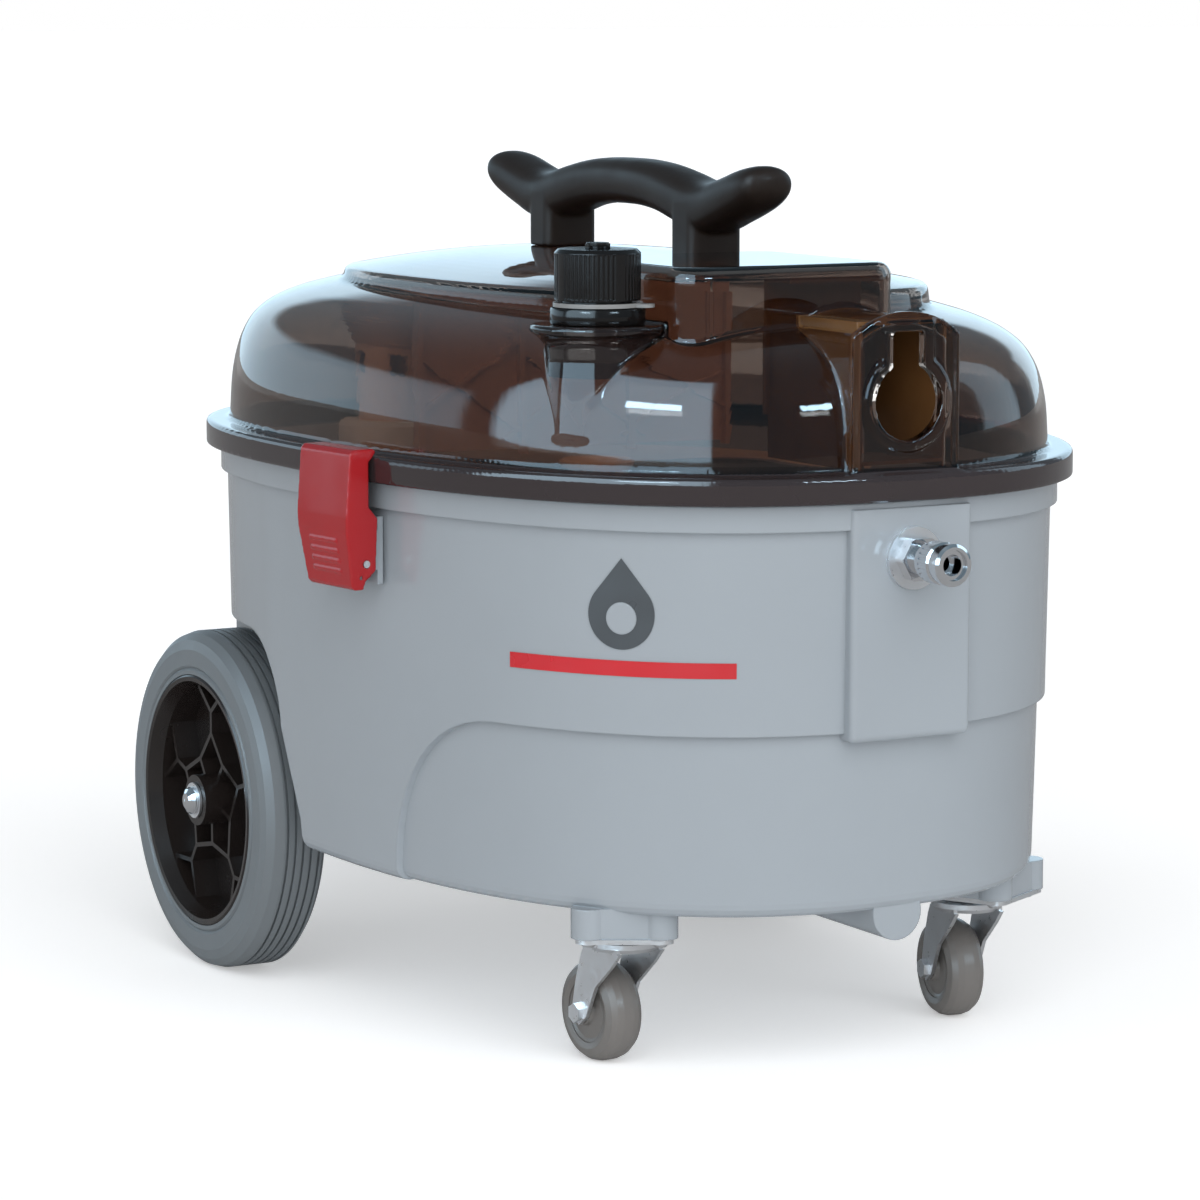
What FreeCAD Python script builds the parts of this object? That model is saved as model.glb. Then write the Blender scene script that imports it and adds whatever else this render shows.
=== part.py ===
import FreeCAD, Part
import math
import os

# Carpet cleaner: rolling spray-extraction machine with a lift-off dome lid.
# Units are mm.  Front is -Y, up is +Z, the floor is Z = 0 and X = 0 is the centre plane.

V = FreeCAD.Vector
X = V(1, 0, 0)
Y = V(0, 1, 0)
Z = V(0, 0, 1)

# plan outline of the lid rim: a squarish oval, longer at the front than at the rear
RIM_HALF_WIDTH = 211.4
RIM_FRONT = 318.6
RIM_REAR = 261.7
RIM_CENTRE_Y = 44.55
FRONT_POWER = 2.39
REAR_POWER = 2.53
OUTLINE_POINTS = 56
QUARTER_POINTS = 10

# heights
FLOOR_GAP = 90.0
FLOOR_T = 3.4
FOOT_ROUND = 8.0
STEP_Z = 188.0
LIP_BOTTOM = 295.5
LIP_TOP = 309.2
LID_BOTTOM = 310.0
RIM_TOP = 324.5
BOX_TOP = 430.0
WALL = 4.0
LID_WALL = 3.5

# rear wheels
AXLE_Y = 179.25
WHEEL_R = 100.0
WHEEL_W = 40.0
WHEEL_OUTER_X = 205.6
RIM_R = 74.5
AXLE_R = 6.0
RUN = 0.06
WELL_X = 158.0

# casters
CASTER_X = 110.0
CASTER_Y = -166.0
CASTER_R = 27.5
CASTER_W = 22.0
CASTER_TRAIL = 22.0
CASTER_PLATE_Z = 74.0
PLATE_T = 2.5
PLATE_TURN = 29.0
CASTER_YAW = {"left": 4.4, "right": -9.2}

# latches
LATCH_Y = -32.5
LATCH_W = 52.0
LATCH_PIN_Z = 266.0
LATCH_PIN_OUT = 1.6
LATCH_LEAN = 5.5

# hose port, duct box and front panel
PORT_Z = 361.8
PORT_R = 20.1
PORT_FACE_Y = -270.2
PORT_PLATE_T = 6.0
PORT_SLOT_HALF = 9.5
PORT_SLOT_TOP = 398.0
BOX_LEFT = -98.0
BOX_RIGHT = 38.0
BOX_FRONT = -206.8
BOX_REAR = -78.0
PANEL_FACE_Y = -267.2
PANEL_LEFT = -31.0
PANEL_RIGHT = 43.0
PANEL_BOTTOM = 183.5
COUPLER_X = 6.0
COUPLER_Z = 279.5
COUPLER_TIP_Y = -306.25

# filler neck and cap
FILLER_X = -125.0
FILLER_Y = -163.8
COLLAR_TOP = 400.0
COLLAR_R = 36.0
CAP_R = 22.8
CAP_BOTTOM = 412.6
CAP_TOP = 439.4

# handle
HANDLE_Y = 20.25
LEG_HALF_SPAN = 83.25
LEG_T = 22.0
HANDLE_W = 32.0
HANDLE_BASE = 425.6
HANDLE_ROUND = 5.0

# motor, standpipe, pump and bucket
MOTOR_X = -62.0
MOTOR_Y = 209.75
DECK_Z = 286.0
BAY_WALL_Y = 72.0
PUMP_X = 62.0
BUCKET_X = 98.0
BUCKET_FRONT = -212.0
BUCKET_REAR = 62.0
BUCKET_FLOOR = 170.0
BUCKET_TOP = 300.0

# rear panel
REAR_FACE_Y = 298.0
SWITCH_X = (-46.0, -16.0)
SWITCH_Z = 250.0


# ---------------------------------------------------------------- helpers

def box(x0, x1, y0, y1, z0, z1):
    return Part.makeBox(x1 - x0, y1 - y0, z1 - z0, V(x0, y0, z0))


def cyl(r, h, base, axis=Z):
    return Part.makeCylinder(r, h, V(*base), axis)


def ring(r_out, r_in, h, base, axis=Z):
    start = V(*base) - axis * 1.0
    return cyl(r_out, h, base, axis).cut(Part.makeCylinder(r_in, h + 2.0, start, axis))


def fuse(first, *others):
    return first.fuse(list(others)).removeSplitter()


def cut(first, *others):
    return first.cut(list(others))


def mirror_x(shape):
    return shape.mirror(V(0, 0, 0), X)


def hexagon(across_flats, h, base, axis=Z):
    r = across_flats / math.sqrt(3.0)
    points = [V(r * math.cos(k * math.pi / 3), r * math.sin(k * math.pi / 3), 0) for k in range(7)]
    prism = Part.Face(Part.makePolygon(points)).extrude(Z * h)
    prism.Placement = FreeCAD.Placement(V(*base), FreeCAD.Rotation(Z, axis))
    return prism


def prism_yz(points, x0, x1):
    corners = [V(x0, y, z) for y, z in points]
    return Part.Face(Part.makePolygon(corners + corners[:1])).extrude(X * (x1 - x0))


def lathe(points, base, axis=Z):
    """Turn an (r, h) profile about an axis through base."""
    corners = [V(r, 0, h) for r, h in points]
    turned = Part.Face(Part.makePolygon(corners + corners[:1])).revolve(V(0, 0, 0), Z, 360)
    turned.Placement = FreeCAD.Placement(V(*base), FreeCAD.Rotation(Z, axis))
    return turned


def fillet_where(shape, radius, test):
    edges = [e for e in shape.Edges if test(e.BoundBox)]
    return shape.makeFillet(radius, edges)


def rim_point(turn, inset, z, tilt):
    """Point on the plan outline, shrunk by inset and sloping up to the rear by tilt; turn is in quarters."""
    c = math.cos(turn * math.pi / 2)
    s = math.sin(turn * math.pi / 2)
    front = turn % 4 > 2
    power = 2.0 / (FRONT_POWER if front else REAR_POWER)
    reach = (RIM_FRONT if front else RIM_REAR) - inset
    x = (RIM_HALF_WIDTH - inset) * math.copysign(abs(c) ** power, c)
    y = reach * math.copysign(abs(s) ** power, s)
    return V(x, RIM_CENTRE_Y + y, z + tilt * y)


def outline(inset, z, tilt=0.0):
    """Plan outline as one closed curve."""
    points = [rim_point(4.0 * k / OUTLINE_POINTS, inset, z, tilt) for k in range(OUTLINE_POINTS)]
    curve = Part.BSplineCurve()
    curve.interpolate(Points=points, PeriodicFlag=True)
    return Part.Wire([curve.toShape()])


def quartered_outline(inset, z):
    """Level plan outline as four curves that meet at its front, rear and sides."""
    corners = [rim_point(turn, inset, z, 0) for turn in range(4)]
    headings = [V(0, 1, 0), V(-1, 0, 0), V(0, -1, 0), V(1, 0, 0)]
    edges = []
    for turn in range(4):
        after = (turn + 1) % 4
        points = [rim_point(turn + k / QUARTER_POINTS, inset, z, 0) for k in range(1, QUARTER_POINTS)]
        curve = Part.BSplineCurve()
        curve.interpolate(Points=[corners[turn]] + points + [corners[after]],
                          InitialTangent=headings[turn], FinalTangent=headings[after])
        edges.append(curve.toShape())
    return Part.Wire(edges)


def stack(sections, ruled=True):
    """Solid through outlines given as (inset, z) or (inset, z, tilt)."""
    return Part.makeLoft([outline(*s) for s in sections], True, ruled)


def tub(sections):
    """Straight-sided solid through level outlines given as (inset, z)."""
    return Part.makeLoft([quartered_outline(*s) for s in sections], True, True)


def foot(inset):
    """Sections that round the bottom edge of a wall under the given inset."""
    sections = []
    for step in range(4):
        a = math.radians(22.5 * step)
        sections.append((inset + FOOT_ROUND * (1 - math.sin(a)), FLOOR_GAP + FOOT_ROUND * (1 - math.cos(a))))
    sections.append((inset, FLOOR_GAP + FOOT_ROUND))
    return sections


def tube_along(points, r_out, r_in):
    """Tube along straight runs joined by tangent arcs."""
    corners = [V(*p) for p in points]
    edges = []
    here = corners[0]
    for before, corner, after in zip(corners, corners[1:], corners[2:]):
        back = (before - corner).normalize()
        ahead = (after - corner).normalize()
        reach = 0.42 * min(corner.distanceToPoint(before), corner.distanceToPoint(after))
        start = corner + back * reach
        end = corner + ahead * reach
        half_angle = back.getAngle(ahead) / 2
        radius = reach * math.tan(half_angle)
        middle = (back + ahead).normalize()
        centre_gap = reach / math.cos(half_angle)
        mid = corner + middle * (centre_gap - radius)
        edges.append(Part.makeLine(here, start))
        edges.append(Part.Arc(start, mid, end).toShape())
        here = end
    edges.append(Part.makeLine(here, corners[-1]))
    spine = Part.Wire(edges)
    heading = (corners[1] - corners[0]).normalize()
    pipes = []
    for r in (r_out, r_in):
        circle = Part.Wire([Part.makeCircle(r, corners[0], heading)])
        pipes.append(spine.makePipeShell([circle], True, True))
    return pipes[0].cut(pipes[1])


# ---------------------------------------------------------------- tank shell

def well_prism(grow, x0, x1):
    """Wheel arch: leaning front edge, rounded top corner, open to the rear."""
    g = grow
    a = V(x0, 49 - g, 70)
    b = V(x0, 55 - g, 108)
    c = V(x0, 78 - g, 158)
    mid = V(x0, 93 - 0.8 * g, 193 + 0.6 * g)
    d = V(x0, 125, 208.5 + g)
    e = V(x0, 330, 208.5 + g)
    f = V(x0, 330, 70)
    edges = [
        Part.makeLine(a, b),
        Part.makeLine(b, c),
        Part.Arc(c, mid, d).toShape(),
        Part.makeLine(d, e),
        Part.makeLine(e, f),
        Part.makeLine(f, a),
    ]
    return Part.Face(Part.Wire(edges)).extrude(X * (x1 - x0))


def nose_block():
    corners = [(-420, 60), (-54.5, 60), (-54.5, 97)]
    for k in range(1, 13):
        a = k * math.pi / 24
        corners.append((-135 + 80.5 * math.cos(a), 97 + (STEP_Z - 97) * math.sin(a)))
    corners.append((-420, STEP_Z))
    return prism_yz(corners, -260, 260)


def cavity():
    return tub([(24.0, FLOOR_GAP + FLOOR_T), (21.6, 186), (17.4, 192), (15.8, LIP_TOP + 1)])


def tank_room():
    """Free space inside the tank, wheel arches taken out."""
    arch = well_prism(WALL, WELL_X - WALL, 260)
    return cut(cavity(), arch, mirror_x(arch))


def caster_pod(side):
    """Block under the tank that carries a caster plate, with a screw boss at each corner."""
    sign = -1 if side == "left" else 1
    top = FLOOR_GAP + FLOOR_T - 0.5
    bottom = CASTER_PLATE_Z + PLATE_T
    pod = box(-34, 34, -26, 26, bottom, top)
    pod = fillet_where(pod, 6, lambda b: b.ZLength > 5)
    for x in (-27, 27):
        for y in (-19, 19):
            pod = pod.fuse(cyl(9.5, top - bottom, (x, y, bottom)))
    pod.rotate(V(0, 0, 0), Z, 90 - sign * -PLATE_TURN)
    pod.translate(V(sign * CASTER_X, CASTER_Y, 0))
    return pod


def sump():
    trough = box(-6.4, 22.4, -252, -165, 86, FLOOR_GAP + 3)
    return trough.fuse(cyl(15, 87, (8, -252, 88), Y))


def tank_shell():
    outer = tub(foot(15.3) + [(13.2, STEP_Z), (11.6, LIP_BOTTOM + 2)])
    nose = tub(foot(19.3) + [(17.2, STEP_Z + 1)])
    outer = outer.cut(nose_block().cut(nose))
    lip = tub([(8.0, LIP_BOTTOM), (8.0, LIP_TOP)])
    panel = box(PANEL_LEFT, PANEL_RIGHT, PANEL_FACE_Y, -245, PANEL_BOTTOM, LIP_TOP - 3)
    panel = fillet_where(panel, 4, lambda b: b.YMax < PANEL_FACE_Y + 1 and b.ZMax < LIP_TOP - 4)
    panel = fillet_where(panel, 3, lambda b: b.ZLength > 50 and b.YMax < PANEL_FACE_Y + 5)
    rear_pad = box(-74, 74, 270, REAR_FACE_Y, 212, LIP_BOTTOM + 2)
    outer = outer.fuse([lip, panel, rear_pad])
    outer = outer.fuse([caster_pod("left"), caster_pod("right"), sump()])
    arch = well_prism(0, WELL_X, 260)
    shell = cut(outer, tank_room(), arch, mirror_x(arch))
    inner_boss = cyl(13, 10, (WELL_X - WALL - 9.5, AXLE_Y, 104), X)
    inner_boss = inner_boss.fuse(mirror_x(inner_boss))
    shell = shell.fuse(inner_boss)
    cuts = [cyl(AXLE_R + 0.2, 400, (-200, AXLE_Y, WHEEL_R), X)]
    cuts.append(cyl(6.65, 40, (COUPLER_X, -280, COUPLER_Z), Y))
    cuts.append(cyl(11, 70, (8, -240, 88), Y))
    cuts.append(box(-68, 68, 250, 320, 222, 278))
    cuts.append(box(-58, 58, 250, 320, 122, 182))
    groove = tub([(10.6, LIP_TOP - 2), (10.6, LIP_TOP + 2)])
    groove = groove.cut(tub([(13.6, LIP_TOP - 3), (13.6, LIP_TOP + 3)]))
    cuts.append(groove)
    for side in (-1, 1):
        cuts.append(cyl(5, 2.5, (side * CASTER_X, CASTER_Y, CASTER_PLATE_Z + PLATE_T - 0.1)))
        for x, y in plate_holes(side):
            cuts.append(cyl(2.4, 13, (x, y, CASTER_PLATE_Z)))
    return cut(shell, *cuts)


def tank_gasket():
    band = tub([(10.7, LIP_TOP - 1.9), (10.9, LIP_TOP + 0.5)])
    return band.cut(tub([(13.5, LIP_TOP - 3), (13.3, LIP_TOP + 2)]))


# ---------------------------------------------------------------- tank insides

def motor_bay_wall():
    wall = box(-220, 220, BAY_WALL_Y, BAY_WALL_Y + 3, FLOOR_GAP + FLOOR_T, DECK_Z + 8)
    wall = wall.common(tank_room())
    wall = cut(wall, cyl(7, 20, (PUMP_X, BAY_WALL_Y - 5, 122), Y))
    return cut(wall, cyl(8, 30, (138, BAY_WALL_Y - 8, 214), Y))


def motor_deck():
    slab = box(-220, 220, BAY_WALL_Y + 3.3, 320, DECK_Z, DECK_Z + 4)
    slab = slab.common(tank_room())
    return cut(slab, cyl(15.5, 20, (MOTOR_X, MOTOR_Y, DECK_Z - 5)))


def standpipe():
    """Air intake: tube with windows under a wide closed mouth."""
    z = DECK_Z + 4
    tube = lathe([(15.5, 0), (30, 0), (30, 3), (18, 5), (18, 84), (27, 94), (27, 97),
                  (0, 97), (0, 93), (15.5, 93)], (MOTOR_X, MOTOR_Y, z))
    windows = []
    for k in range(2):
        bar = box(-30, 30, -6, 6, z + 62, z + 78)
        bar.rotate(V(0, 0, 0), Z, 90 * k)
        bar.translate(V(MOTOR_X, MOTOR_Y, 0))
        windows.append(bar)
    return cut(tube, *windows)


def ring_float():
    z = DECK_Z + 10
    return lathe([(18.5, 0), (27, 0), (30, 3), (30, 19), (27, 22), (18.5, 22)], (MOTOR_X, MOTOR_Y, z))


def vacuum_motor():
    base = (MOTOR_X, MOTOR_Y, 0)
    can = lathe([(0, 132), (30, 132), (34, 150), (46, 154), (46, 226), (62, 232), (62, 276),
                 (58, 280), (58, 285.9), (0, 285.9)], base)
    hollow = lathe([(0, 160), (37, 160), (37, 222), (46, 228), (57, 238), (57, 274),
                    (15.5, 274), (15.5, 287), (0, 287)], base)
    shaft_hole = cyl(4 + RUN, 30, (MOTOR_X, MOTOR_Y, 140))
    outlet = cyl(14, 60, (MOTOR_X, MOTOR_Y + 40, 254), Y)
    outlet_bore = cyl(11, 62, (MOTOR_X, MOTOR_Y + 39, 254), Y)
    outlet = outlet.common(box(-200, 200, 0, 277.5, 0, 400))
    return cut(can.fuse(outlet), hollow, shaft_hole, outlet_bore)


def motor_rotor():
    base = (MOTOR_X, MOTOR_Y, 0)
    shaft = cyl(4, 130, (MOTOR_X, MOTOR_Y, 142))
    core = cyl(27, 46, (MOTOR_X, MOTOR_Y, 168))
    fan = lathe([(0, 242), (52, 242), (52, 244), (12, 244), (12, 262), (0, 262)], base)
    plate = lathe([(22, 258), (52, 254), (52, 256), (22, 260)], base)
    rotor = shaft.fuse([core, fan, plate])
    for k in range(9):
        blade = box(14, 51, -1, 1, 243.5, 256)
        blade.rotate(V(0, 0, 0), Z, 40 * k)
        blade.translate(V(MOTOR_X, MOTOR_Y, 0))
        rotor = rotor.fuse(blade)
    return rotor


def solution_tank():
    room = box(-220, 220, -260, 42, 60, 400)
    outer = tub([(27, FLOOR_GAP + FLOOR_T + 1), (25, 165)]).common(room)
    inner_room = box(-220, 220, -260, 39, 60, 400)
    inner = tub([(30, FLOOR_GAP + FLOOR_T + 4), (28, 162)]).common(inner_room)
    tank = outer.cut(inner)
    return cut(tank, cyl(16, 20, (FILLER_X, FILLER_Y, 155)), cyl(6, 20, (PUMP_X, 30, 122), Y))


def filler_pipe():
    return lathe([(13.5, 158), (15.7, 158), (15.7, 318), (20, 328), (18, 329), (13.5, 320)],
                 (FILLER_X, FILLER_Y, 0))


def recovery_bucket():
    pan = box(-BUCKET_X, BUCKET_X, BUCKET_FRONT, BUCKET_REAR, BUCKET_FLOOR, BUCKET_TOP)
    pan = fillet_where(pan, 32, lambda b: b.ZLength > 50)
    hollow = box(-BUCKET_X + 3, BUCKET_X - 3, BUCKET_FRONT + 3, BUCKET_REAR - 3,
                 BUCKET_FLOOR + 3, BUCKET_TOP + 5)
    hollow = fillet_where(hollow, 29, lambda b: b.ZLength > 50)
    lip = box(-BUCKET_X - 5, BUCKET_X + 5, BUCKET_FRONT - 4, BUCKET_REAR + 5, BUCKET_TOP - 3, BUCKET_TOP)
    lip = fillet_where(lip, 36, lambda b: b.ZLength > 1 and b.XLength < 1 and b.YLength < 1)
    return cut(pan.fuse(lip), hollow)


def pump_body():
    block = box(PUMP_X - 30, PUMP_X + 30, 150, 258, 108, 166)
    block = fillet_where(block, 8, lambda b: b.YLength > 50)
    head = cyl(22, 16, (PUMP_X, 134, 137), Y)
    inlet = cyl(8, 10, (PUMP_X, 128, 122), Y)
    outlet = cyl(7, 12, (PUMP_X + 12, 126, 150), Y)
    block = block.fuse([head, inlet, outlet])
    bore = cyl(9 + RUN, 70, (PUMP_X, 160, 137), Y)
    return cut(block, bore, cyl(4, 30, (PUMP_X, 120, 122), Y), cyl(3, 30, (PUMP_X + 12, 120, 150), Y))


def pump_plunger():
    rod = cyl(9, 46, (PUMP_X, 172, 137), Y)
    return rod.cut(cyl(4, 30, (PUMP_X, 160, 137), Y))


def pump_bracket():
    base = box(PUMP_X - 38, PUMP_X + 38, 160, 250, FLOOR_GAP + FLOOR_T, FLOOR_GAP + FLOOR_T + 3)
    feet = []
    for x in (PUMP_X - 22, PUMP_X + 22):
        for y in (172, 238):
            feet.append(cyl(8, 11.6, (x, y, FLOOR_GAP + FLOOR_T + 3)))
    return cut(base.fuse(feet), box(-200, 200, AXLE_Y - 9, AXLE_Y + 9, 90, 107.5))


def suction_hose():
    return ring(5.9, 4, 98, (PUMP_X, 30, 122), Y)


def intake_strainer():
    body = cyl(13, 26, (PUMP_X, 3.9, 122), Y)
    hollow = cyl(11, 23, (PUMP_X, 5.9, 122), Y)
    slots = []
    for k in range(5):
        slots.append(box(PUMP_X - 20, PUMP_X + 20, 8 + 4 * k, 9.6 + 4 * k, 118, 126))
    return cut(body, hollow, *slots)


def pressure_hose():
    path = [(PUMP_X + 12, 125.6, 150), (PUMP_X + 12, 103, 150), (138, 103, 214), (138, 36, 214),
            (153, 0, 276), (153, -100, 276), (136, -190, 279.5), (84, -232, 279.5),
            (44, -246, 279.5), (COUPLER_X + 9, -246, 279.5)]
    return tube_along(path, 5, 3)


# ---------------------------------------------------------------- quick coupler

def coupler_washer():
    return ring(16.5, 6.7, 2.5, (COUPLER_X, PANEL_FACE_Y - 2.5, COUPLER_Z), Y)


def coupler_body():
    """Hex nipple with a hollow stem through the wall, and the plug end inside the sleeve."""
    y = PANEL_FACE_Y
    stem = cyl(6.6, 21, (COUPLER_X, y - 2.5, COUPLER_Z), Y)
    block = box(COUPLER_X - 9, COUPLER_X + 9, y + 16, y + 26, COUPLER_Z - 9, COUPLER_Z + 9)
    nut = hexagon(22, 7.5, (COUPLER_X, y - 10, COUPLER_Z), Y)
    nut = nut.common(cyl(12.2, 7.5, (COUPLER_X, y - 10, COUPLER_Z), Y))
    shank = cyl(8, 27.4, (COUPLER_X, COUPLER_TIP_Y + 2, COUPLER_Z), Y)
    bore = cyl(4.2, 62, (COUPLER_X, COUPLER_TIP_Y - 1, COUPLER_Z), Y)
    side = cyl(3, 12, (COUPLER_X - 1, y + 21.2, COUPLER_Z), X)
    mouth = cyl(5.6, 12, (COUPLER_X, COUPLER_TIP_Y - 1, COUPLER_Z), Y)
    return cut(stem.fuse([block, nut, shank]), bore, side, mouth)


def coupler_locknut():
    nut = hexagon(21, 5, (COUPLER_X, PANEL_FACE_Y + 11, COUPLER_Z), Y)
    return nut.cut(cyl(6.62, 7, (COUPLER_X, PANEL_FACE_Y + 10, COUPLER_Z), Y))


def coupler_sleeve():
    y = COUPLER_TIP_Y
    profile = [(8.05, 0), (9.6, 0), (11.2, 1.2), (11.2, 5), (10.2, 6), (10.2, 9), (11.2, 10),
               (11.2, 19), (9.8, 21), (9.8, 23), (8.05, 23)]
    sleeve = lathe(profile, (COUPLER_X, y, COUPLER_Z), Y)
    grooves = []
    for k in range(24):
        a = 2 * math.pi * k / 24
        x = COUPLER_X + 11.6 * math.cos(a)
        z = COUPLER_Z + 11.6 * math.sin(a)
        grooves.append(cyl(0.8, 7, (x, y + 11, z), Y))
    return cut(sleeve, *grooves)


# ---------------------------------------------------------------- emblem on the front left

def skin(inset_top, inset_bottom):
    return tub([(inset_bottom, STEP_Z + 2), (inset_top, LIP_BOTTOM)])


def front_label_area(shape):
    """Wrap a flat cutter, facing the front left, onto the tank wall as a thin skin."""
    shape.rotate(V(0, 0, 0), Z, -24)
    outer = skin(11.15, 12.75)
    inner = skin(11.63, 13.17)
    return outer.cut(inner).common(shape)


def front_emblem():
    drop = cyl(17, 160, (-52, -300, 246), Y)
    tip = prism_yz([(-300, 252), (-300, 276), (-140, 276), (-140, 252)], -52 - 13, -52 + 13)
    wedge_points = [V(-52 - 15.4, -300, 253), V(-52, -300, 281), V(-52 + 15.4, -300, 253)]
    wedge = Part.Face(Part.makePolygon(wedge_points + wedge_points[:1])).extrude(Y * 160)
    hole = cyl(8, 160, (-52, -300, 243), Y)
    return front_label_area(drop.fuse(wedge).cut(hole))


def front_stripe():
    bar = box(-52 - 66, -52 + 66, -300, -140, 206, 212)
    return front_label_area(bar)


# ---------------------------------------------------------------- rear panel

def switch_panel():
    plate = box(-71, 71, REAR_FACE_Y, REAR_FACE_Y + 3, 217, 283)
    plate = fillet_where(plate, 6, lambda b: b.YLength > 2 and b.XLength < 1 and b.ZLength < 1)
    frames = []
    holes = []
    for x in SWITCH_X:
        frames.append(box(x - 10.5, x + 10.5, REAR_FACE_Y - 12, REAR_FACE_Y + 4.5,
                          SWITCH_Z - 17, SWITCH_Z + 17))
        holes.append(box(x - 8, x + 8, REAR_FACE_Y - 10.5, REAR_FACE_Y + 9,
                         SWITCH_Z - 14.4, SWITCH_Z + 14.4))
        holes.append(cyl(1.5 + RUN, 30, (x - 15, REAR_FACE_Y + 1, SWITCH_Z), X).common(
            box(x - 9.6, x + 9.6, 0, 400, 0, 400)))
    holes.append(box(28.6, 57.4, REAR_FACE_Y - 5, REAR_FACE_Y + 5, 238.6, 261.4))
    return cut(plate.fuse(frames), *holes)


def rocker(x):
    """Two-slope rocker on its own pivot stubs, resting at the off position."""
    y = REAR_FACE_Y
    points = [(y - 6, 241), (y + 3.2, 238), (y + 5.4, 237.6), (y + 4.4, SWITCH_Z),
              (y + 7.4, 262.4), (y + 4.2, 262.2), (y - 6, 259)]
    body = prism_yz(points, x - 7.6, x + 7.6)
    return body.fuse(cyl(1.5, 18.8, (x - 9.4, y + 1, SWITCH_Z), X))


def power_inlet():
    y = REAR_FACE_Y
    block = box(28.9, 57.1, y - 18, y + 3, 238.9, 261.1)
    flange = box(25, 61, y + 3, y + 5.2, 235, 265)
    recess = box(31.5, 54.5, y - 13, y + 6, 241.5, 258.5)
    pins = [box(36, 38, y - 14, y - 1, 246, 252), box(48, 50, y - 14, y - 1, 246, 252),
            box(42, 44, y - 14, y - 1, 249, 255)]
    return fuse(block.fuse(flange).cut(recess), *pins)


def exhaust_grille():
    y = 291.4
    frame = box(-57.6, 57.6, y - 6, y, 122.4, 181.6)
    slots = []
    for k in range(9):
        z = 127 + 5.8 * k
        for x in (-53, 2):
            slots.append(box(x, x + 51, y - 8, y + 2, z, z + 3))
    return cut(frame, *slots)


# ---------------------------------------------------------------- latches

def place_latch(shape, side):
    """Local frame: x outward from the rim edge, y along the rim, z up."""
    shape.rotate(V(0, 0, 0), Z, -LATCH_LEAN)
    shape.translate(V(208.6, LATCH_Y, 0))
    return shape if side == "right" else mirror_x(shape)


def latch(side):
    profile = [(-3.0, 326.2), (-3.0, 327.6), (-1.6, 328.6), (10.5, 328.6), (13.2, 326.4), (15.6, 292),
               (15.4, 284), (10.6, 254), (8.6, 252), (3.0, 252), (2.2, 256), (-4.2, 262),
               (-4.2, 291), (1.3, 297), (1.3, 321.6)]
    points = [V(x, -LATCH_W / 2, z) for x, z in profile]
    solid = Part.Face(Part.makePolygon(points + points[:1])).extrude(Y * LATCH_W)
    pocket = [(-6, 256), (4, 256), (9.5, 262), (12.4, 284), (12.4, 292), (10.6, 320), (1.2, 320),
              (1.2, 297), (-6, 292)]
    points = [V(x, -LATCH_W / 2 + 3, z) for x, z in pocket]
    hollow = Part.Face(Part.makePolygon(points + points[:1])).extrude(Y * (LATCH_W - 6))
    taper = []
    for sign in (-1, 1):
        edge = [V(-30, sign * 26.1, 292), V(-30, sign * 26.1, 250), V(-30, sign * 22.8, 250)]
        taper.append(Part.Face(Part.makePolygon(edge + edge[:1])).extrude(X * 80))
    ribs = []
    for k in range(4):
        z = 262 + 5.5 * k
        x = 10.6 + (z - 254) * 0.16
        bar = box(x - 1.5, x + 0.7, -14, 14, z - 0.8, z + 0.8)
        ribs.append(bar)
    pin_hole = cyl(2 + RUN, 80, (-LATCH_PIN_OUT + 3.2, -40, LATCH_PIN_Z), Y)
    shape = cut(cut(solid, hollow, *taper).fuse(ribs), pin_hole)
    return place_latch(shape, side)


def latch_pin(side):
    pin = cyl(2, LATCH_W - 4, (-LATCH_PIN_OUT + 3.2, -LATCH_W / 2 + 2, LATCH_PIN_Z), Y)
    return place_latch(pin, side)


def latch_bracket(side):
    base = box(-11.2, -7.6, -20, 20, 254, 291)
    ears = []
    for y in (-20, 16):
        ears.append(box(-8, 1.6, y, y + 4, 262, 284))
        ears.append(cyl(4, 4, (-LATCH_PIN_OUT + 3.2, y, LATCH_PIN_Z), Y))
    bracket = base.fuse(ears)
    hole = cyl(2, 60, (-LATCH_PIN_OUT + 3.2, -30, LATCH_PIN_Z), Y)
    shape = place_latch(bracket.cut(hole), side)
    return shape.cut(tub([(12.98, 200), (11.64, 292)]))


# ---------------------------------------------------------------- rear wheels

def tyre():
    """Solid rubber tyre along +X, outer sidewall at x = WHEEL_W."""
    w = WHEEL_W
    profile = [(RIM_R, 2), (RIM_R + 3, 0.5), (88, 0), (96, 1.5), (100, 5), (100, w - 11), (98.4, w - 5.5),
               (94.5, w - 1.6), (89, w), (RIM_R + 5, w), (RIM_R + 3.6, w - 1.2), (RIM_R + 2.2, w),
               (RIM_R, w)]
    tread = lathe(profile, (0, 0, 0), X)
    grooves = []
    for k in range(5):
        grooves.append(ring(101, 98.2, 1.6, (6.2 + 5.0 * k, 0, 0), X))
    return cut(tread, *grooves)


def wheel_rib(r0, a0, r1, a1):
    """Flat rib of the wheel web between two polar points."""
    p = V(0, r0 * math.cos(a0), r0 * math.sin(a0))
    q = V(0, r1 * math.cos(a1), r1 * math.sin(a1))
    along = q - p
    rib = Part.makeBox(18, along.Length + 2, 2.6, V(12, -1, -1.3))
    rib.Placement = FreeCAD.Placement(p, FreeCAD.Rotation(Y, along))
    return rib


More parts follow.
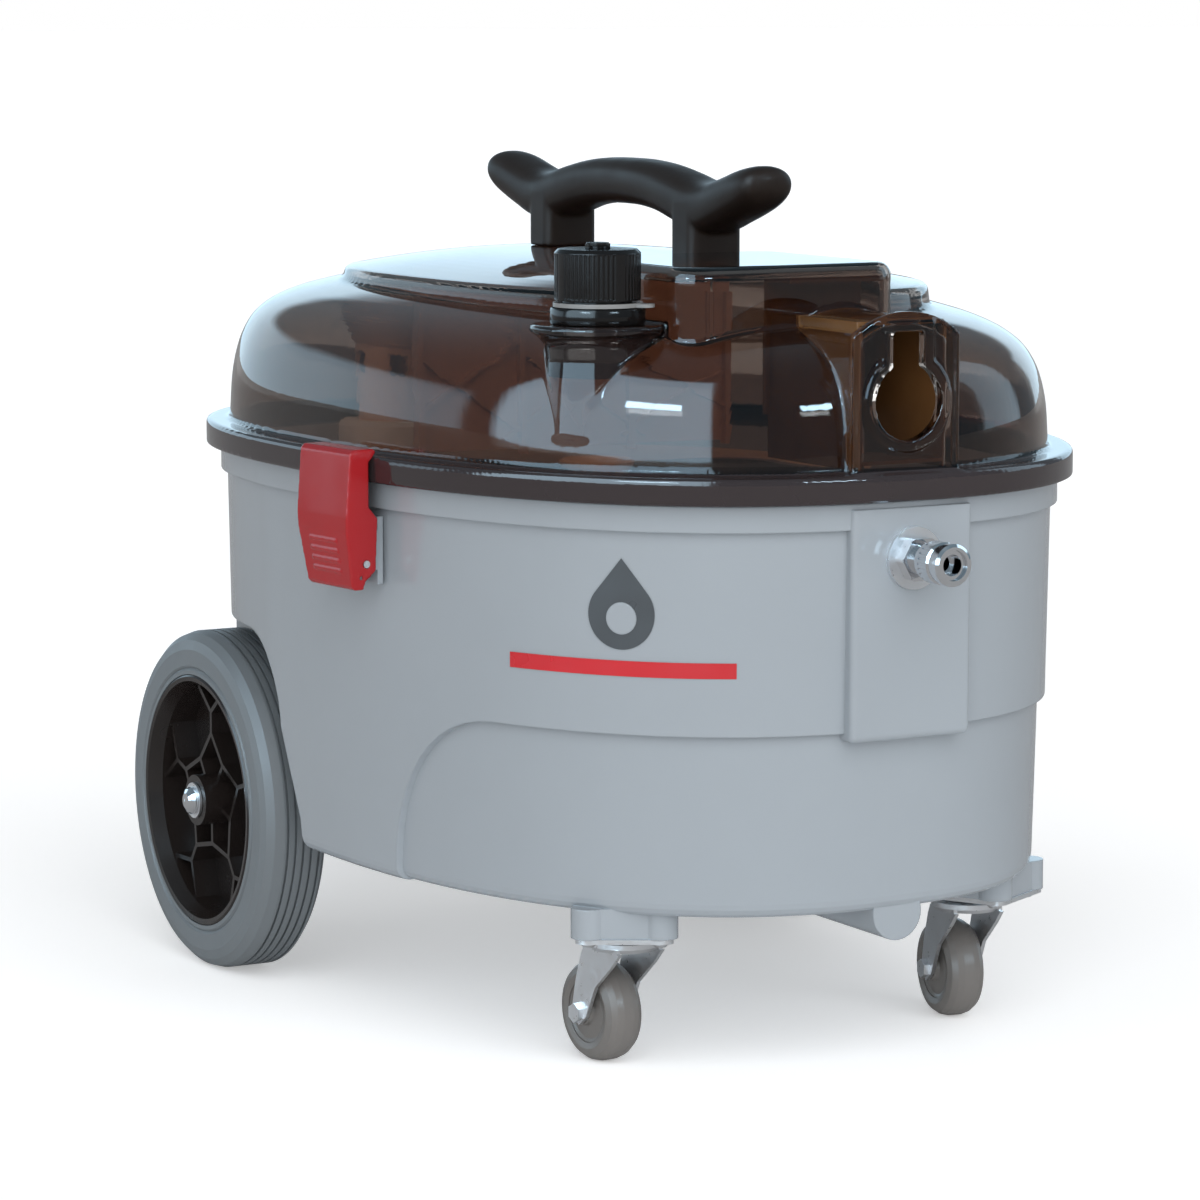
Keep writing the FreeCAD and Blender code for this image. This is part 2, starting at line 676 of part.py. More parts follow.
def hub():
    w = WHEEL_W
    drum = lathe([(67.5, 6), (RIM_R - 0.05, 6), (RIM_R - 0.05, w - 0.5), (73, w + 0.6), (70.5, w + 0.2),
                  (67.5, w - 8)], (0, 0, 0), X)
    web = ring(68, 12, 3, (12, 0, 0), X)
    boss = lathe([(10, -3), (13, -3), (15, 4), (15, w + 0.4), (10, w + 0.4)], (0, 0, 0), X)
    pieces = [web, boss]
    fifth = 2 * math.pi / 5
    for k in range(5):
        a = math.radians(54) + k * fifth
        b = a + fifth / 2
        pieces.append(wheel_rib(12, a, 27, a))
        pieces.append(wheel_rib(27, a, 39, b))
        pieces.append(wheel_rib(27, a, 39, a - fifth / 2))
        pieces.append(wheel_rib(39, b, 52, b))
        pieces.append(wheel_rib(52, b, 68, b + math.radians(15)))
        pieces.append(wheel_rib(52, b, 68, b - math.radians(15)))
    hub_shape = drum.fuse(pieces)
    bush = ring(10.2, AXLE_R + RUN, w + 3.4, (-3, 0, 0), X)
    return hub_shape.fuse(bush)


def place_wheel(shape, side):
    shape.translate(V(WHEEL_OUTER_X - WHEEL_W, AXLE_Y, WHEEL_R))
    return shape if side == "right" else mirror_x(shape)


def rear_axle():
    half = WHEEL_OUTER_X + 3.4
    return cyl(AXLE_R, 2 * half, (-half, AXLE_Y, WHEEL_R), X)


def axle_washers():
    one = ring(10.5, AXLE_R + 0.05, 1.4, (WHEEL_OUTER_X + 0.7, AXLE_Y, WHEEL_R), X)
    return Part.Compound([one, mirror_x(one)])


def axle_caps():
    cap = lathe([(0, 0), (8, 0), (8, 1.4), (7, 3.2), (4.5, 4.6), (0, 5.2)],
                (WHEEL_OUTER_X + 2.2, AXLE_Y, WHEEL_R), X)
    cap = cap.cut(cyl(AXLE_R + 0.02, 1.25, (WHEEL_OUTER_X + 2.2, AXLE_Y, WHEEL_R), X))
    return Part.Compound([cap, mirror_x(cap)])


# ---------------------------------------------------------------- casters

def turned_about_caster(shape, side, angle):
    sign = -1 if side == "left" else 1
    shape.rotate(V(0, 0, 0), Z, angle)
    shape.translate(V(sign * CASTER_X, CASTER_Y, 0))
    return shape


def plate_turn(side):
    sign = -1 if side == "left" else 1
    return 90 + sign * PLATE_TURN


def plate_holes(sign):
    a = math.radians(90 + sign * PLATE_TURN)
    spots = []
    for x in (-27, 27):
        for y in (-19, 19):
            spots.append((sign * CASTER_X + x * math.cos(a) - y * math.sin(a),
                          CASTER_Y + x * math.sin(a) + y * math.cos(a)))
    return spots


def caster_plate(side):
    z = CASTER_PLATE_Z
    plate = box(-35, 35, -26, 26, z, z + PLATE_T)
    plate = fillet_where(plate, 5, lambda b: b.ZLength > 2 and b.XLength < 1 and b.YLength < 1)
    race = lathe([(4.06, -3), (17, -3), (19.5, 0.2), (4.06, 0.2)], (0, 0, z))
    holes = [cyl(4.06, 12, (0, 0, z - 6))]
    for x in (-27, 27):
        for y in (-19, 19):
            holes.append(cyl(2.5, 10, (x, y, z - 5)))
    return turned_about_caster(cut(plate.fuse(race), *holes), side, plate_turn(side))


def caster_screws(side):
    screws = []
    sign = -1 if side == "left" else 1
    for x, y in plate_holes(sign):
        head = lathe([(0, -2.6), (3, -2.6), (4.6, -1), (4.6, 0), (2.3, 0), (2.3, 12), (0, 12)],
                     (x, y, CASTER_PLATE_Z))
        screws.append(head)
    return screws


def caster_fork(side):
    """Pressed fork: dished top with the king pin, two legs leaning back to the wheel axle."""
    z = CASTER_PLATE_Z
    top = lathe([(0, -8.6), (18, -8.6), (20, -6.4), (20, -3.6), (18.4, -3.6), (17, -6), (0, -6)], (0, 0, z))
    pin = lathe([(0, -10.5), (6, -10.5), (7, -8.6), (4, -8.6), (4, 4.2), (0, 4.2)], (0, 0, z))
    legs = []
    for sign in (-1, 1):
        inner = sign * 12.6
        points = [(-17, z - 8.6), (17, z - 8.6), (20, z - 14), (25, 45), (29, 27), (22, 20.5), (15, 26),
                  (6, 44), (-10, z - 16)]
        corners = [V(inner, y, h) for y, h in points]
        leg = Part.Face(Part.makePolygon(corners + corners[:1])).extrude(X * (sign * 2.2))
        legs.append(leg)
        legs.append(box(min(inner, inner + sign * 2.2), max(inner, inner + sign * 2.2), -15, 15, z - 9, z - 6.2))
    fork = top.fuse(legs + [pin])
    hole = cyl(3.0, 40, (-20, CASTER_TRAIL, CASTER_R), X)
    return turned_about_caster(fork.cut(hole), side, CASTER_YAW[side])


def caster_axle(side):
    y = CASTER_TRAIL
    bolt = cyl(3, 31.6, (-14.8, y, CASTER_R), X)
    head = hexagon(9.5, 3.4, (-18.2, y, CASTER_R), X)
    nut = hexagon(9.5, 3.4, (14.8, y, CASTER_R), X)
    return turned_about_caster(bolt.fuse([head, nut]), side, CASTER_YAW[side])


def caster_tread(side):
    h = CASTER_W / 2
    r = CASTER_R
    profile = [(17, -h + 1), (r - 7, -h), (r - 3, -h + 1.4), (r - 0.9, -h + 4.4), (r, -h + 8), (r, h - 8),
               (r - 0.9, h - 4.4), (r - 3, h - 1.4), (r - 7, h), (17, h - 1)]
    tread = lathe(profile, (0, CASTER_TRAIL, r), X)
    return turned_about_caster(tread, side, CASTER_YAW[side])


def caster_core(side):
    h = CASTER_W / 2
    profile = [(3 + RUN, -h - 1), (6.5, -h - 1), (7.5, -h + 1.5), (15, -h + 2.4), (16.95, -h + 1.4),
               (16.95, h - 1.4), (15, h - 2.4), (7.5, h - 1.5), (6.5, h + 1), (3 + RUN, h + 1)]
    core = lathe(profile, (0, CASTER_TRAIL, CASTER_R), X)
    return turned_about_caster(core, side, CASTER_YAW[side])


# ---------------------------------------------------------------- dome lid

DOME = [(13.0, LID_BOTTOM, 0.0), (13.6, 335, 0.0), (15.0, 356, 0.004), (19.0, 371, 0.010),
        (27.0, 383.5, 0.015), (40.0, 393, 0.0167), (58.0, 400.6, 0.0167), (82.0, 407.4, 0.0167),
        (115.0, 413, 0.015), (160.0, 416.6, 0.012)]
PLATEAU_EDGE = 78.0
PLATEAU_FOOT = 410.0
CROWN_START = 84.0
CROWN_END = 196.0
CROWN_LOW = 414.0


def plateau_sections(thinner):
    """Raised island on the dome: upright wall, rounded edge, then a gentle crown under the handle."""
    rows = [(PLATEAU_EDGE, 400.0), (PLATEAU_EDGE, PLATEAU_FOOT)]
    for k in range(1, 4):
        a = k * math.pi / 8
        rows.append((PLATEAU_EDGE + 4 * (1 - math.cos(a)), PLATEAU_FOOT + 4 * math.sin(a)))
    steps = 9
    for k in range(steps + 1):
        u = k / steps
        rise = (HANDLE_BASE - CROWN_LOW) * (1 - (1 - u) ** 2)
        rows.append((CROWN_START + (CROWN_END - CROWN_START) * u, CROWN_LOW + rise))
    return [(inset + thinner, z - thinner) for inset, z in rows]


def dome_rows():
    """The dome's sections with one more between each pair, on a smooth curve."""
    profile = Part.BSplineCurve()
    profile.interpolate(Points=[V(inset, z, 1000 * tilt) for inset, z, tilt in DOME])
    knots = [profile.parameter(V(inset, z, 1000 * tilt)) for inset, z, tilt in DOME]
    rows = []
    for here, after in zip(knots, knots[1:]):
        for u in (here, (here + after) / 2):
            point = profile.value(u)
            rows.append((point.x, point.y, point.z / 1000))
    rows.append(DOME[-1])
    return rows


def dome_solid(thinner):
    moved = []
    for inset, z, tilt in dome_rows():
        drop = thinner if z > LID_BOTTOM + 1 else 1.0
        moved.append((inset + thinner, z - (drop if thinner else 0), tilt))
    return stack(moved)


def duct_box(grow):
    """Raised air box behind the hose port; grow < 0 gives its inside."""
    g = grow
    shape = box(BOX_LEFT - g, BOX_RIGHT + g, BOX_FRONT - g, BOX_REAR + g, 372, BOX_TOP + g)
    shape = fillet_where(shape, 18 + g, lambda b: b.ZLength > 20 and b.YMax < -100)
    return fillet_where(shape, 7 + g, lambda b: b.ZMin > BOX_TOP + g - 1 and b.YMin < -100)


def port_profile(grow, y0, y1, slot=False):
    """Flat-sided, arch-topped section of the hose tunnel."""
    half = 32.6 + grow
    shoulder = 397.2 + grow * 0.6
    crown = 408.6 + grow
    a = V(-half, y0, LID_BOTTOM + 2)
    b = V(-half, y0, shoulder)
    c = V(0, y0, crown)
    d = V(half, y0, shoulder)
    e = V(half, y0, LID_BOTTOM + 2)
    edges = [Part.makeLine(a, b), Part.Arc(b, c, d).toShape(), Part.makeLine(d, e), Part.makeLine(e, a)]
    return Part.Face(Part.Wire(edges)).extrude(Y * (y1 - y0))


def keyhole(grow, y0, y1):
    round_part = cyl(PORT_R + grow, y1 - y0, (0, y0, PORT_Z), Y)
    slot = box(-PORT_SLOT_HALF - grow, PORT_SLOT_HALF + grow, y0, y1, PORT_Z, PORT_SLOT_TOP + grow)
    return round_part.fuse(slot)


def filler_neck_outer():
    return lathe([(0, -60), (27, -60), (27, -16), (29, -10), (34, -4.5), (COLLAR_R, -3.4), (COLLAR_R, -0.8),
                  (COLLAR_R - 0.8, 0), (0, 0)], (FILLER_X, FILLER_Y, COLLAR_TOP))


def lid_dome():
    rim = stack([(0.0, LID_BOTTOM), (0.4, RIM_TOP - 4)])
    crest = stack([(0.4, RIM_TOP - 4.1), (1.6, RIM_TOP - 1.2), (4.4, RIM_TOP)])
    dome = dome_solid(0)
    plateau = stack(plateau_sections(0))
    box_outer = duct_box(0)
    tunnel = port_profile(-2.2, PORT_FACE_Y + PORT_PLATE_T, -196)
    neck = filler_neck_outer()
    neck_skirt = neck.cut(box(-300, 300, -400, 400, 300, 366))
    outer = dome.fuse([rim, crest, plateau, box_outer, tunnel, neck_skirt])

    inside = dome_solid(LID_WALL)
    plateau_in = stack(plateau_sections(LID_WALL))
    box_in = duct_box(-LID_WALL)
    tunnel_in = port_profile(-2.2 - LID_WALL, PORT_FACE_Y, -190)
    tunnel_in = tunnel_in.common(box(-100, 100, -400, 0, 330, 500))
    bore = cyl(22.5, 90, (FILLER_X, FILLER_Y, COLLAR_TOP - 80))
    return cut(outer, inside, plateau_in, box_in, tunnel_in, bore)


def hose_port_plate():
    """Plate bonded to the front of the hose tunnel, with a raised border around its keyhole."""
    back = PORT_FACE_Y + PORT_PLATE_T
    plate = port_profile(0, PORT_FACE_Y, back)
    plate = fillet_where(plate, 2, lambda b: b.YMax < PORT_FACE_Y + 0.5 and b.ZMax > 330)
    plate = plate.common(box(-60, 60, PORT_FACE_Y - 1, back, RIM_TOP, 440))
    border = keyhole(5.5, PORT_FACE_Y - 1.6, PORT_FACE_Y + 1)
    hole = keyhole(0, PORT_FACE_Y - 5, PORT_FACE_Y + 12)
    return plate.fuse(border).cut(hole)


def hose_deflector():
    """Plate behind the port that turns the incoming water down into the bucket."""
    plate = box(-30, 30, -176, -173, 350, 423)
    roof = box(-30, 30, -200, -173, 420, 423)
    return plate.fuse(roof)


def splash_baffle():
    """Ribbed screen hung from the lid between bucket and air intake."""
    panel = box(-104, 104, 88, 91, 300, 430)
    room = dome_solid(LID_WALL + 0.2).fuse(stack(plateau_sections(LID_WALL + 0.2)))
    panel = panel.common(room)
    ribs = []
    for x0 in (-78, 0, 78):
        for angle in (-38, 38):
            bar = box(-60, 60, 85.4, 88.2, -1.5, 1.5)
            bar.rotate(V(0, 0, 0), Y, angle)
            bar.translate(V(x0, 0, 352))
            ribs.append(bar)
    for x0 in (-102, -36, 36, 102):
        ribs.append(box(x0 - 2, x0 + 2, 84, 88.2, 302, 398))
    window = box(-104, 104, 80, 95, 306, 396)
    trimmed = [r.common(window) for r in ribs]
    return panel.fuse(trimmed)


def lid_handle():
    """Bar on two legs, with upswept horns at both ends."""
    half = LEG_HALF_SPAN
    inner = half - LEG_T / 2
    outer = half + LEG_T / 2
    y = HANDLE_Y
    z = HANDLE_BASE
    right = [(0, 479.6), (34, 478), (66, 472), (92, 467.2), (114, 471), (132, 477.6), (146, 479.4),
             (153, 476), (154.6, 470), (148, 462.4), (132, 454.6), (112, 447.6), (outer + 2, 442.6),
             (outer, 436)]
    top = Part.BSplineCurve()
    left = [(-s, h) for s, h in reversed(right[1:])]
    top.interpolate(Points=[V(0, y + s, h) for s, h in left + right])
    arch = Part.Arc(V(0, y + inner, 446), V(0, y, 457.4), V(0, y - inner, 446)).toShape()
    edges = [
        top.toShape(),
        Part.makeLine(V(0, y + outer, 436), V(0, y + outer, z)),
        Part.makeLine(V(0, y + outer, z), V(0, y + inner, z)),
        Part.makeLine(V(0, y + inner, z), V(0, y + inner, 446)),
        arch,
        Part.makeLine(V(0, y - inner, 446), V(0, y - inner, z)),
        Part.makeLine(V(0, y - inner, z), V(0, y - outer, z)),
        Part.makeLine(V(0, y - outer, z), V(0, y - outer, 436)),
    ]
    face = Part.Face(Part.Wire(edges))
    face.translate(V(-HANDLE_W / 2, 0, 0))
    bar = face.extrude(X * HANDLE_W)
    rounded = fillet_where(bar, HANDLE_ROUND, lambda b: b.XLength < 0.1 and b.YLength > 250)
    rounded = fillet_where(rounded, 4, lambda b: b.XLength < 0.1 and 120 < b.YLength < 160 and b.ZMin > 440)
    inserts = []
    for s in (-half, half):
        inserts.append(cyl(2.6, 22, (0, y + s, z - 1)))
    return cut(rounded, *inserts)


def handle_screws():
    screws = []
    for s in (-LEG_HALF_SPAN, LEG_HALF_SPAN):
        screws.append(cyl(2.55, 19, (0, HANDLE_Y + s, HANDLE_BASE)))
    return Part.Compound(screws)


# ---------------------------------------------------------------- filler cap

def neck_insert():
    """Black threaded neck that the cap screws onto."""
    base = (FILLER_X, FILLER_Y, COLLAR_TOP)
    return lathe([(15, -40), (22.4, -40), (22.4, 0.1), (24.6, 0.1), (25.2, 1.2), (25.2, 7.6), (24.6, 8.6),
                  (18.4, 8.6), (18.4, 30), (15, 30)], base)


def cap_strap():
    """Thin ring under the cap with a pull tab."""
    flat = ring(23.6, 18.9, 2.2, (FILLER_X, FILLER_Y, COLLAR_TOP + 9.2))
    tab = box(0, 31, -5, 5, COLLAR_TOP + 9.2, COLLAR_TOP + 11.0)
    tab = fillet_where(tab, 4, lambda b: b.XMin > 28 and b.ZLength > 1)
    tab = tab.cut(cyl(20, 10, (0, 0, COLLAR_TOP + 5)))
    tab.rotate(V(0, 0, 0), Z, -48)
    tab.translate(V(FILLER_X, FILLER_Y, 0))
    return flat.fuse(tab)


def filler_cap():
    h = CAP_TOP - CAP_BOTTOM
    body = lathe([(18.8, 0), (CAP_R, 0), (CAP_R, h - 2), (CAP_R - 2, h), (0, h), (0, h - 3.5), (18.8, h - 3.5)],
                 (FILLER_X, FILLER_Y, CAP_BOTTOM))
    grooves = []
    count = 56
    for k in range(count):
        if k % 14 < 2:
            continue
        a = 2 * math.pi * k / count
        x = FILLER_X + (CAP_R + 0.35) * math.cos(a)
        y = FILLER_Y + (CAP_R + 0.35) * math.sin(a)
        grooves.append(cyl(0.85, h - 3.6, (x, y, CAP_BOTTOM + 1)))
    return cut(body, *grooves)


def cap_vent():
    z = CAP_TOP
    stub = lathe([(0, 0), (4.5, 0), (4.5, 1.6), (6, 1.6), (6, 3.2), (0, 3.2)], (FILLER_X, FILLER_Y, z))
    bar = box(FILLER_X - 6.5, FILLER_X + 6.5, FILLER_Y - 2, FILLER_Y + 2, z, z + 2.6)
    return stub.fuse(bar)


# ---------------------------------------------------------------- export

def build():
    parts = {
        "tank_shell": tank_shell(),
        "tank_gasket": tank_gasket(),
        "motor_bay_wall": motor_bay_wall(),
        "motor_deck": motor_deck(),
        "standpipe": standpipe(),
        "ring_float": ring_float(),
        "vacuum_motor": vacuum_motor(),
        "motor_rotor": motor_rotor(),
        "solution_tank": solution_tank(),
        "filler_pipe": filler_pipe(),
        "recovery_bucket": recovery_bucket(),
        "pump_body": pump_body(),
        "pump_plunger": pump_plunger(),
        "pump_bracket": pump_bracket(),
        "suction_hose": suction_hose(),
        "intake_strainer": intake_strainer(),
        "pressure_hose": pressure_hose(),
        "coupler_washer": coupler_washer(),
        "coupler_body": coupler_body(),
        "coupler_locknut": coupler_locknut(),
        "coupler_sleeve": coupler_sleeve(),
        "front_emblem": front_emblem(),
        "front_stripe": front_stripe(),
        "switch_panel": switch_panel(),
        "vacuum_switch": rocker(SWITCH_X[0]),
        "pump_switch": rocker(SWITCH_X[1]),
        "power_inlet": power_inlet(),
        "exhaust_grille": exhaust_grille(),
        "latch_brackets": Part.Compound([latch_bracket("left"), latch_bracket("right")]),
        "latch_pins": Part.Compound([latch_pin("left"), latch_pin("right")]),
        "rear_axle": rear_axle(),
        "axle_washers": axle_washers(),
        "axle_caps": axle_caps(),
        "caster_plates": Part.Compound([caster_plate("left"), caster_plate("right")]),
        "caster_plate_screws": Part.Compound(caster_screws("left") + caster_screws("right")),
        "lid_dome": lid_dome(),
        "hose_port_plate": hose_port_plate(),
        "lid_handle": lid_handle(),
        "handle_screws": handle_screws(),
        "hose_deflector": hose_deflector(),
        "splash_baffle": splash_baffle(),
        "neck_insert": neck_insert(),
        "cap_strap": cap_strap(),
        "filler_cap": filler_cap(),
        "cap_vent": cap_vent(),
    }
    for side in ("left", "right"):
        parts[side + "_latch"] = latch(side)
        parts[side + "_tyre"] = place_wheel(tyre(), side)
        parts[side + "_hub"] = place_wheel(hub(), side)
        parts[side + "_caster_fork"] = caster_fork(side)
        parts[side + "_caster_axle"] = caster_axle(side)
        parts[side + "_caster_tread"] = caster_tread(side)
        parts[side + "_caster_core"] = caster_core(side)
    return parts


for name, shape in build().items():
    shape.exportStep(os.path.join("parts", name + ".step"))
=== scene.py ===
import bpy
import bmesh
import math
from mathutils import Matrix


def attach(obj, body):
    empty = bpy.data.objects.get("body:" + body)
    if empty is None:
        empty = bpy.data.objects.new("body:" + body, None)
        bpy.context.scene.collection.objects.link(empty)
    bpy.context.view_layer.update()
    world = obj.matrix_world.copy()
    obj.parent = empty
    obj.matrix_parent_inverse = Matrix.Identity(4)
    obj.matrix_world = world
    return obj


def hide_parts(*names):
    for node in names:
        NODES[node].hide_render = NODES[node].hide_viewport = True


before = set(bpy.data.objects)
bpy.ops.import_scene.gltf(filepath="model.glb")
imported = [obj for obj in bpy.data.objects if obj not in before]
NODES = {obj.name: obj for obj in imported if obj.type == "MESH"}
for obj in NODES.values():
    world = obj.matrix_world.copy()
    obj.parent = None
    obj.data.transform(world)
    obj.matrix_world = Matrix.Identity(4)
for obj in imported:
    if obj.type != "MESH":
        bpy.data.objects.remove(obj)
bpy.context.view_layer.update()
MM = 0.001
NOISE_LOW = 0.3
NOISE_HIGH = 0.7


# ---------------------------------------------------------------- materials

def start_material(name, color, roughness, **sockets):
    material = bpy.data.materials.new(name)
    material.use_nodes = True
    tree = material.node_tree
    shader = tree.nodes["Principled BSDF"]
    shader.inputs["Base Color"].default_value = (*color, 1.0)
    shader.inputs["Roughness"].default_value = roughness
    for socket, value in sockets.items():
        shader.inputs[socket.replace("_", " ")].default_value = value
    return material, tree, shader


def link(tree, source, target):
    tree.links.new(source, target)


def noise_node(tree, scale, detail=3.0):
    coords = tree.nodes.new("ShaderNodeTexCoord")
    noise = tree.nodes.new("ShaderNodeTexNoise")
    noise.inputs["Scale"].default_value = scale
    noise.inputs["Detail"].default_value = detail
    link(tree, coords.outputs["Object"], noise.inputs["Vector"])
    return noise


def vary_color(tree, shader, noise, low, high):
    ramp = tree.nodes.new("ShaderNodeValToRGB")
    ramp.color_ramp.elements[0].position = NOISE_LOW
    ramp.color_ramp.elements[0].color = (*low, 1.0)
    ramp.color_ramp.elements[1].position = NOISE_HIGH
    ramp.color_ramp.elements[1].color = (*high, 1.0)
    link(tree, noise.outputs["Fac"], ramp.inputs["Fac"])
    link(tree, ramp.outputs["Color"], shader.inputs["Base Color"])


def vary_roughness(tree, shader, noise, low, high):
    spread = tree.nodes.new("ShaderNodeMapRange")
    spread.inputs["From Min"].default_value = NOISE_LOW
    spread.inputs["From Max"].default_value = NOISE_HIGH
    spread.inputs["To Min"].default_value = low
    spread.inputs["To Max"].default_value = high
    link(tree, noise.outputs["Fac"], spread.inputs["Value"])
    link(tree, spread.outputs["Result"], shader.inputs["Roughness"])


def add_bump(tree, shader, noise, distance, strength=1.0, edge=0.0):
    """Small relief from a noise, over edges that shade as if rounded by the radius edge."""
    bump = tree.nodes.new("ShaderNodeBump")
    if edge:
        bevel = tree.nodes.new("ShaderNodeBevel")
        bevel.samples = 4
        bevel.inputs["Radius"].default_value = edge
        link(tree, bevel.outputs["Normal"], bump.inputs["Normal"])
    bump.inputs["Strength"].default_value = strength
    bump.inputs["Distance"].default_value = distance
    link(tree, noise.outputs["Fac"], bump.inputs["Height"])
    link(tree, bump.outputs["Normal"], shader.inputs["Normal"])


def moulded(name, color, roughness, spread=0.06, tint=0.06, grain=900.0, relief=0.00002, edge=0.0008,
            **sockets):
    """Moulded plastic: slow colour drift, uneven gloss and a fine grain."""
    material, tree, shader = start_material(name, color, roughness, **sockets)
    slow = noise_node(tree, 9.0, 4.0)
    darker = [c * (1 - tint) for c in color]
    lighter = [min(1.0, c * (1 + tint)) for c in color]
    vary_color(tree, shader, slow, darker, lighter)
    patches = noise_node(tree, 40.0, 3.0)
    vary_roughness(tree, shader, patches, max(0.02, roughness - spread), roughness + spread)
    fine = noise_node(tree, grain, 2.0)
    add_bump(tree, shader, fine, relief, edge=edge)
    return material


def metal(name, color, roughness):
    """Metal with a fine uneven polish."""
    material, tree, shader = start_material(name, color, roughness, Metallic=1.0)
    polish = noise_node(tree, 300.0)
    vary_roughness(tree, shader, polish, max(0.03, roughness - 0.06), roughness + 0.06)
    vary_color(tree, shader, noise_node(tree, 25.0), [c * 0.9 for c in color], color)
    add_bump(tree, shader, polish, 0.000012)
    return material


def mix_shaders(tree, switch, usual, other):
    """Shader that is the other one where the switch is on; switch is an output of the light path."""
    rays = tree.nodes.new("ShaderNodeLightPath")
    mix = tree.nodes.new("ShaderNodeMixShader")
    link(tree, rays.outputs[switch], mix.inputs["Fac"])
    link(tree, usual, mix.inputs[1])
    link(tree, other, mix.inputs[2])
    return mix.outputs["Shader"]


def smoked(name, color, let_through):
    """Clear tinted plastic; light from lamps passes each surface of it tinted by let_through."""
    material, tree, shader = start_material(name, color, 0.025, Transmission_Weight=1.0, IOR=1.5,
                                            Specular_IOR_Level=0.95)
    shader.inputs["Specular Tint"].default_value = (0.85, 0.94, 1.0, 1.0)
    waves = noise_node(tree, 14.0, 2.0)
    add_bump(tree, shader, waves, 0.00012, 0.6)
    open_shader = tree.nodes.new("ShaderNodeBsdfTransparent")
    open_shader.inputs["Color"].default_value = (*let_through, 1.0)
    surface = mix_shaders(tree, "Is Shadow Ray", shader.outputs["BSDF"], open_shader.outputs["BSDF"])
    link(tree, surface, tree.nodes["Material Output"].inputs["Surface"])
    return material


TANK = moulded("tank_plastic", (0.262, 0.290, 0.315), 0.11, spread=0.04, tint=0.02, grain=500.0,
               relief=0.00001, edge=0.0012, Specular_IOR_Level=0.7)
LID = smoked("smoked_plastic", (0.31, 0.225, 0.185), (0.68, 0.58, 0.52))
AMBER = moulded("amber_plastic", (0.12, 0.060, 0.022), 0.2, tint=0.35, edge=0.0)
RIM = moulded("rim_plastic", (0.024, 0.018, 0.019), 0.07, spread=0.02, edge=0.0, Specular_IOR_Level=0.7)
DARK = moulded("dark_plastic", (0.012, 0.0078, 0.006), 0.42, grain=1500.0, Specular_IOR_Level=0.25)
BLACK = moulded("black_plastic", (0.005, 0.0045, 0.0045), 0.16, Specular_IOR_Level=0.4)
RED = moulded("red_plastic", (0.27, 0.010, 0.013), 0.2)
RUBBER = moulded("wheel_rubber", (0.115, 0.130, 0.140), 0.5, relief=0.00005, edge=0.0)
HUB = moulded("hub_plastic", (0.014, 0.011, 0.010), 0.22, edge=0.0)
CASTER_RUBBER = moulded("caster_rubber", (0.13, 0.122, 0.115), 0.36)
ZINC = metal("zinc_steel", (0.92, 0.93, 0.95), 0.33)
CHROME = metal("chrome", (0.82, 0.83, 0.85), 0.08)
BRASS = metal("brass", (0.66, 0.42, 0.16), 0.22)
STEEL = metal("steel", (0.45, 0.45, 0.46), 0.3)
PALE = moulded("pale_plastic", (0.62, 0.64, 0.62), 0.35, edge=0.0)
STRAP = moulded("strap_plastic", (0.20, 0.205, 0.205), 0.25, edge=0.0)
INNER = moulded("inner_plastic", (0.60, 0.42, 0.29), 0.4, edge=0.0)
BAFFLE = moulded("baffle_plastic", (0.42, 0.27, 0.20), 0.35, edge=0.0)
TUB = moulded("tub_plastic", (0.09, 0.075, 0.062), 0.4, edge=0.0)
MARK = moulded("mark_print", (0.045, 0.05, 0.055), 0.3, edge=0.0)
STRIPE = moulded("mark_stripe", (0.42, 0.012, 0.018), 0.3, edge=0.0)

FINISHES = {
    "tank_shell": TANK, "tank_gasket": DARK, "motor_bay_wall": INNER, "motor_deck": INNER,
    "standpipe": INNER, "ring_float": PALE, "vacuum_motor": BLACK, "motor_rotor": STEEL,
    "solution_tank": PALE, "filler_pipe": INNER, "recovery_bucket": TUB, "pump_body": BLACK,
    "pump_plunger": STEEL, "pump_bracket": ZINC, "suction_hose": PALE, "intake_strainer": STEEL,
    "pressure_hose": BLACK, "coupler_washer": ZINC, "coupler_body": CHROME, "coupler_locknut": BRASS,
    "coupler_sleeve": CHROME, "front_emblem": MARK, "front_stripe": STRIPE, "switch_panel": BLACK,
    "vacuum_switch": BLACK, "pump_switch": RED, "power_inlet": BLACK, "exhaust_grille": BLACK,
    "latch_brackets": TANK, "latch_pins": ZINC, "rear_axle": ZINC, "axle_washers": ZINC,
    "axle_caps": CHROME, "caster_plates": ZINC, "caster_plate_screws": ZINC, "lid_dome": LID,
    "hose_port_plate": LID, "lid_handle": DARK, "handle_screws": STEEL, "hose_deflector": AMBER,
    "splash_baffle": BAFFLE,
    "neck_insert": BLACK, "cap_strap": STRAP, "filler_cap": BLACK, "cap_vent": BLACK,
    "left_latch": RED, "right_latch": RED, "left_tyre": RUBBER, "right_tyre": RUBBER,
    "left_hub": HUB, "right_hub": HUB, "left_caster_fork": ZINC, "right_caster_fork": ZINC,
    "left_caster_axle": ZINC, "right_caster_axle": ZINC, "left_caster_tread": CASTER_RUBBER,
    "right_caster_tread": CASTER_RUBBER, "left_caster_core": CASTER_RUBBER,
    "right_caster_core": CASTER_RUBBER,
}
for name, node in NODES.items():
    node.data.materials.clear()
    node.data.materials.append(FINISHES[name])


# ---------------------------------------------------------------- mesh tools

RIM_HALF_WIDTH = 0.2114
RIM_FRONT = 0.3186
RIM_REAR = 0.2617
RIM_CENTRE_Y = 0.04455
FRONT_POWER = 2.39
REAR_POWER = 2.53


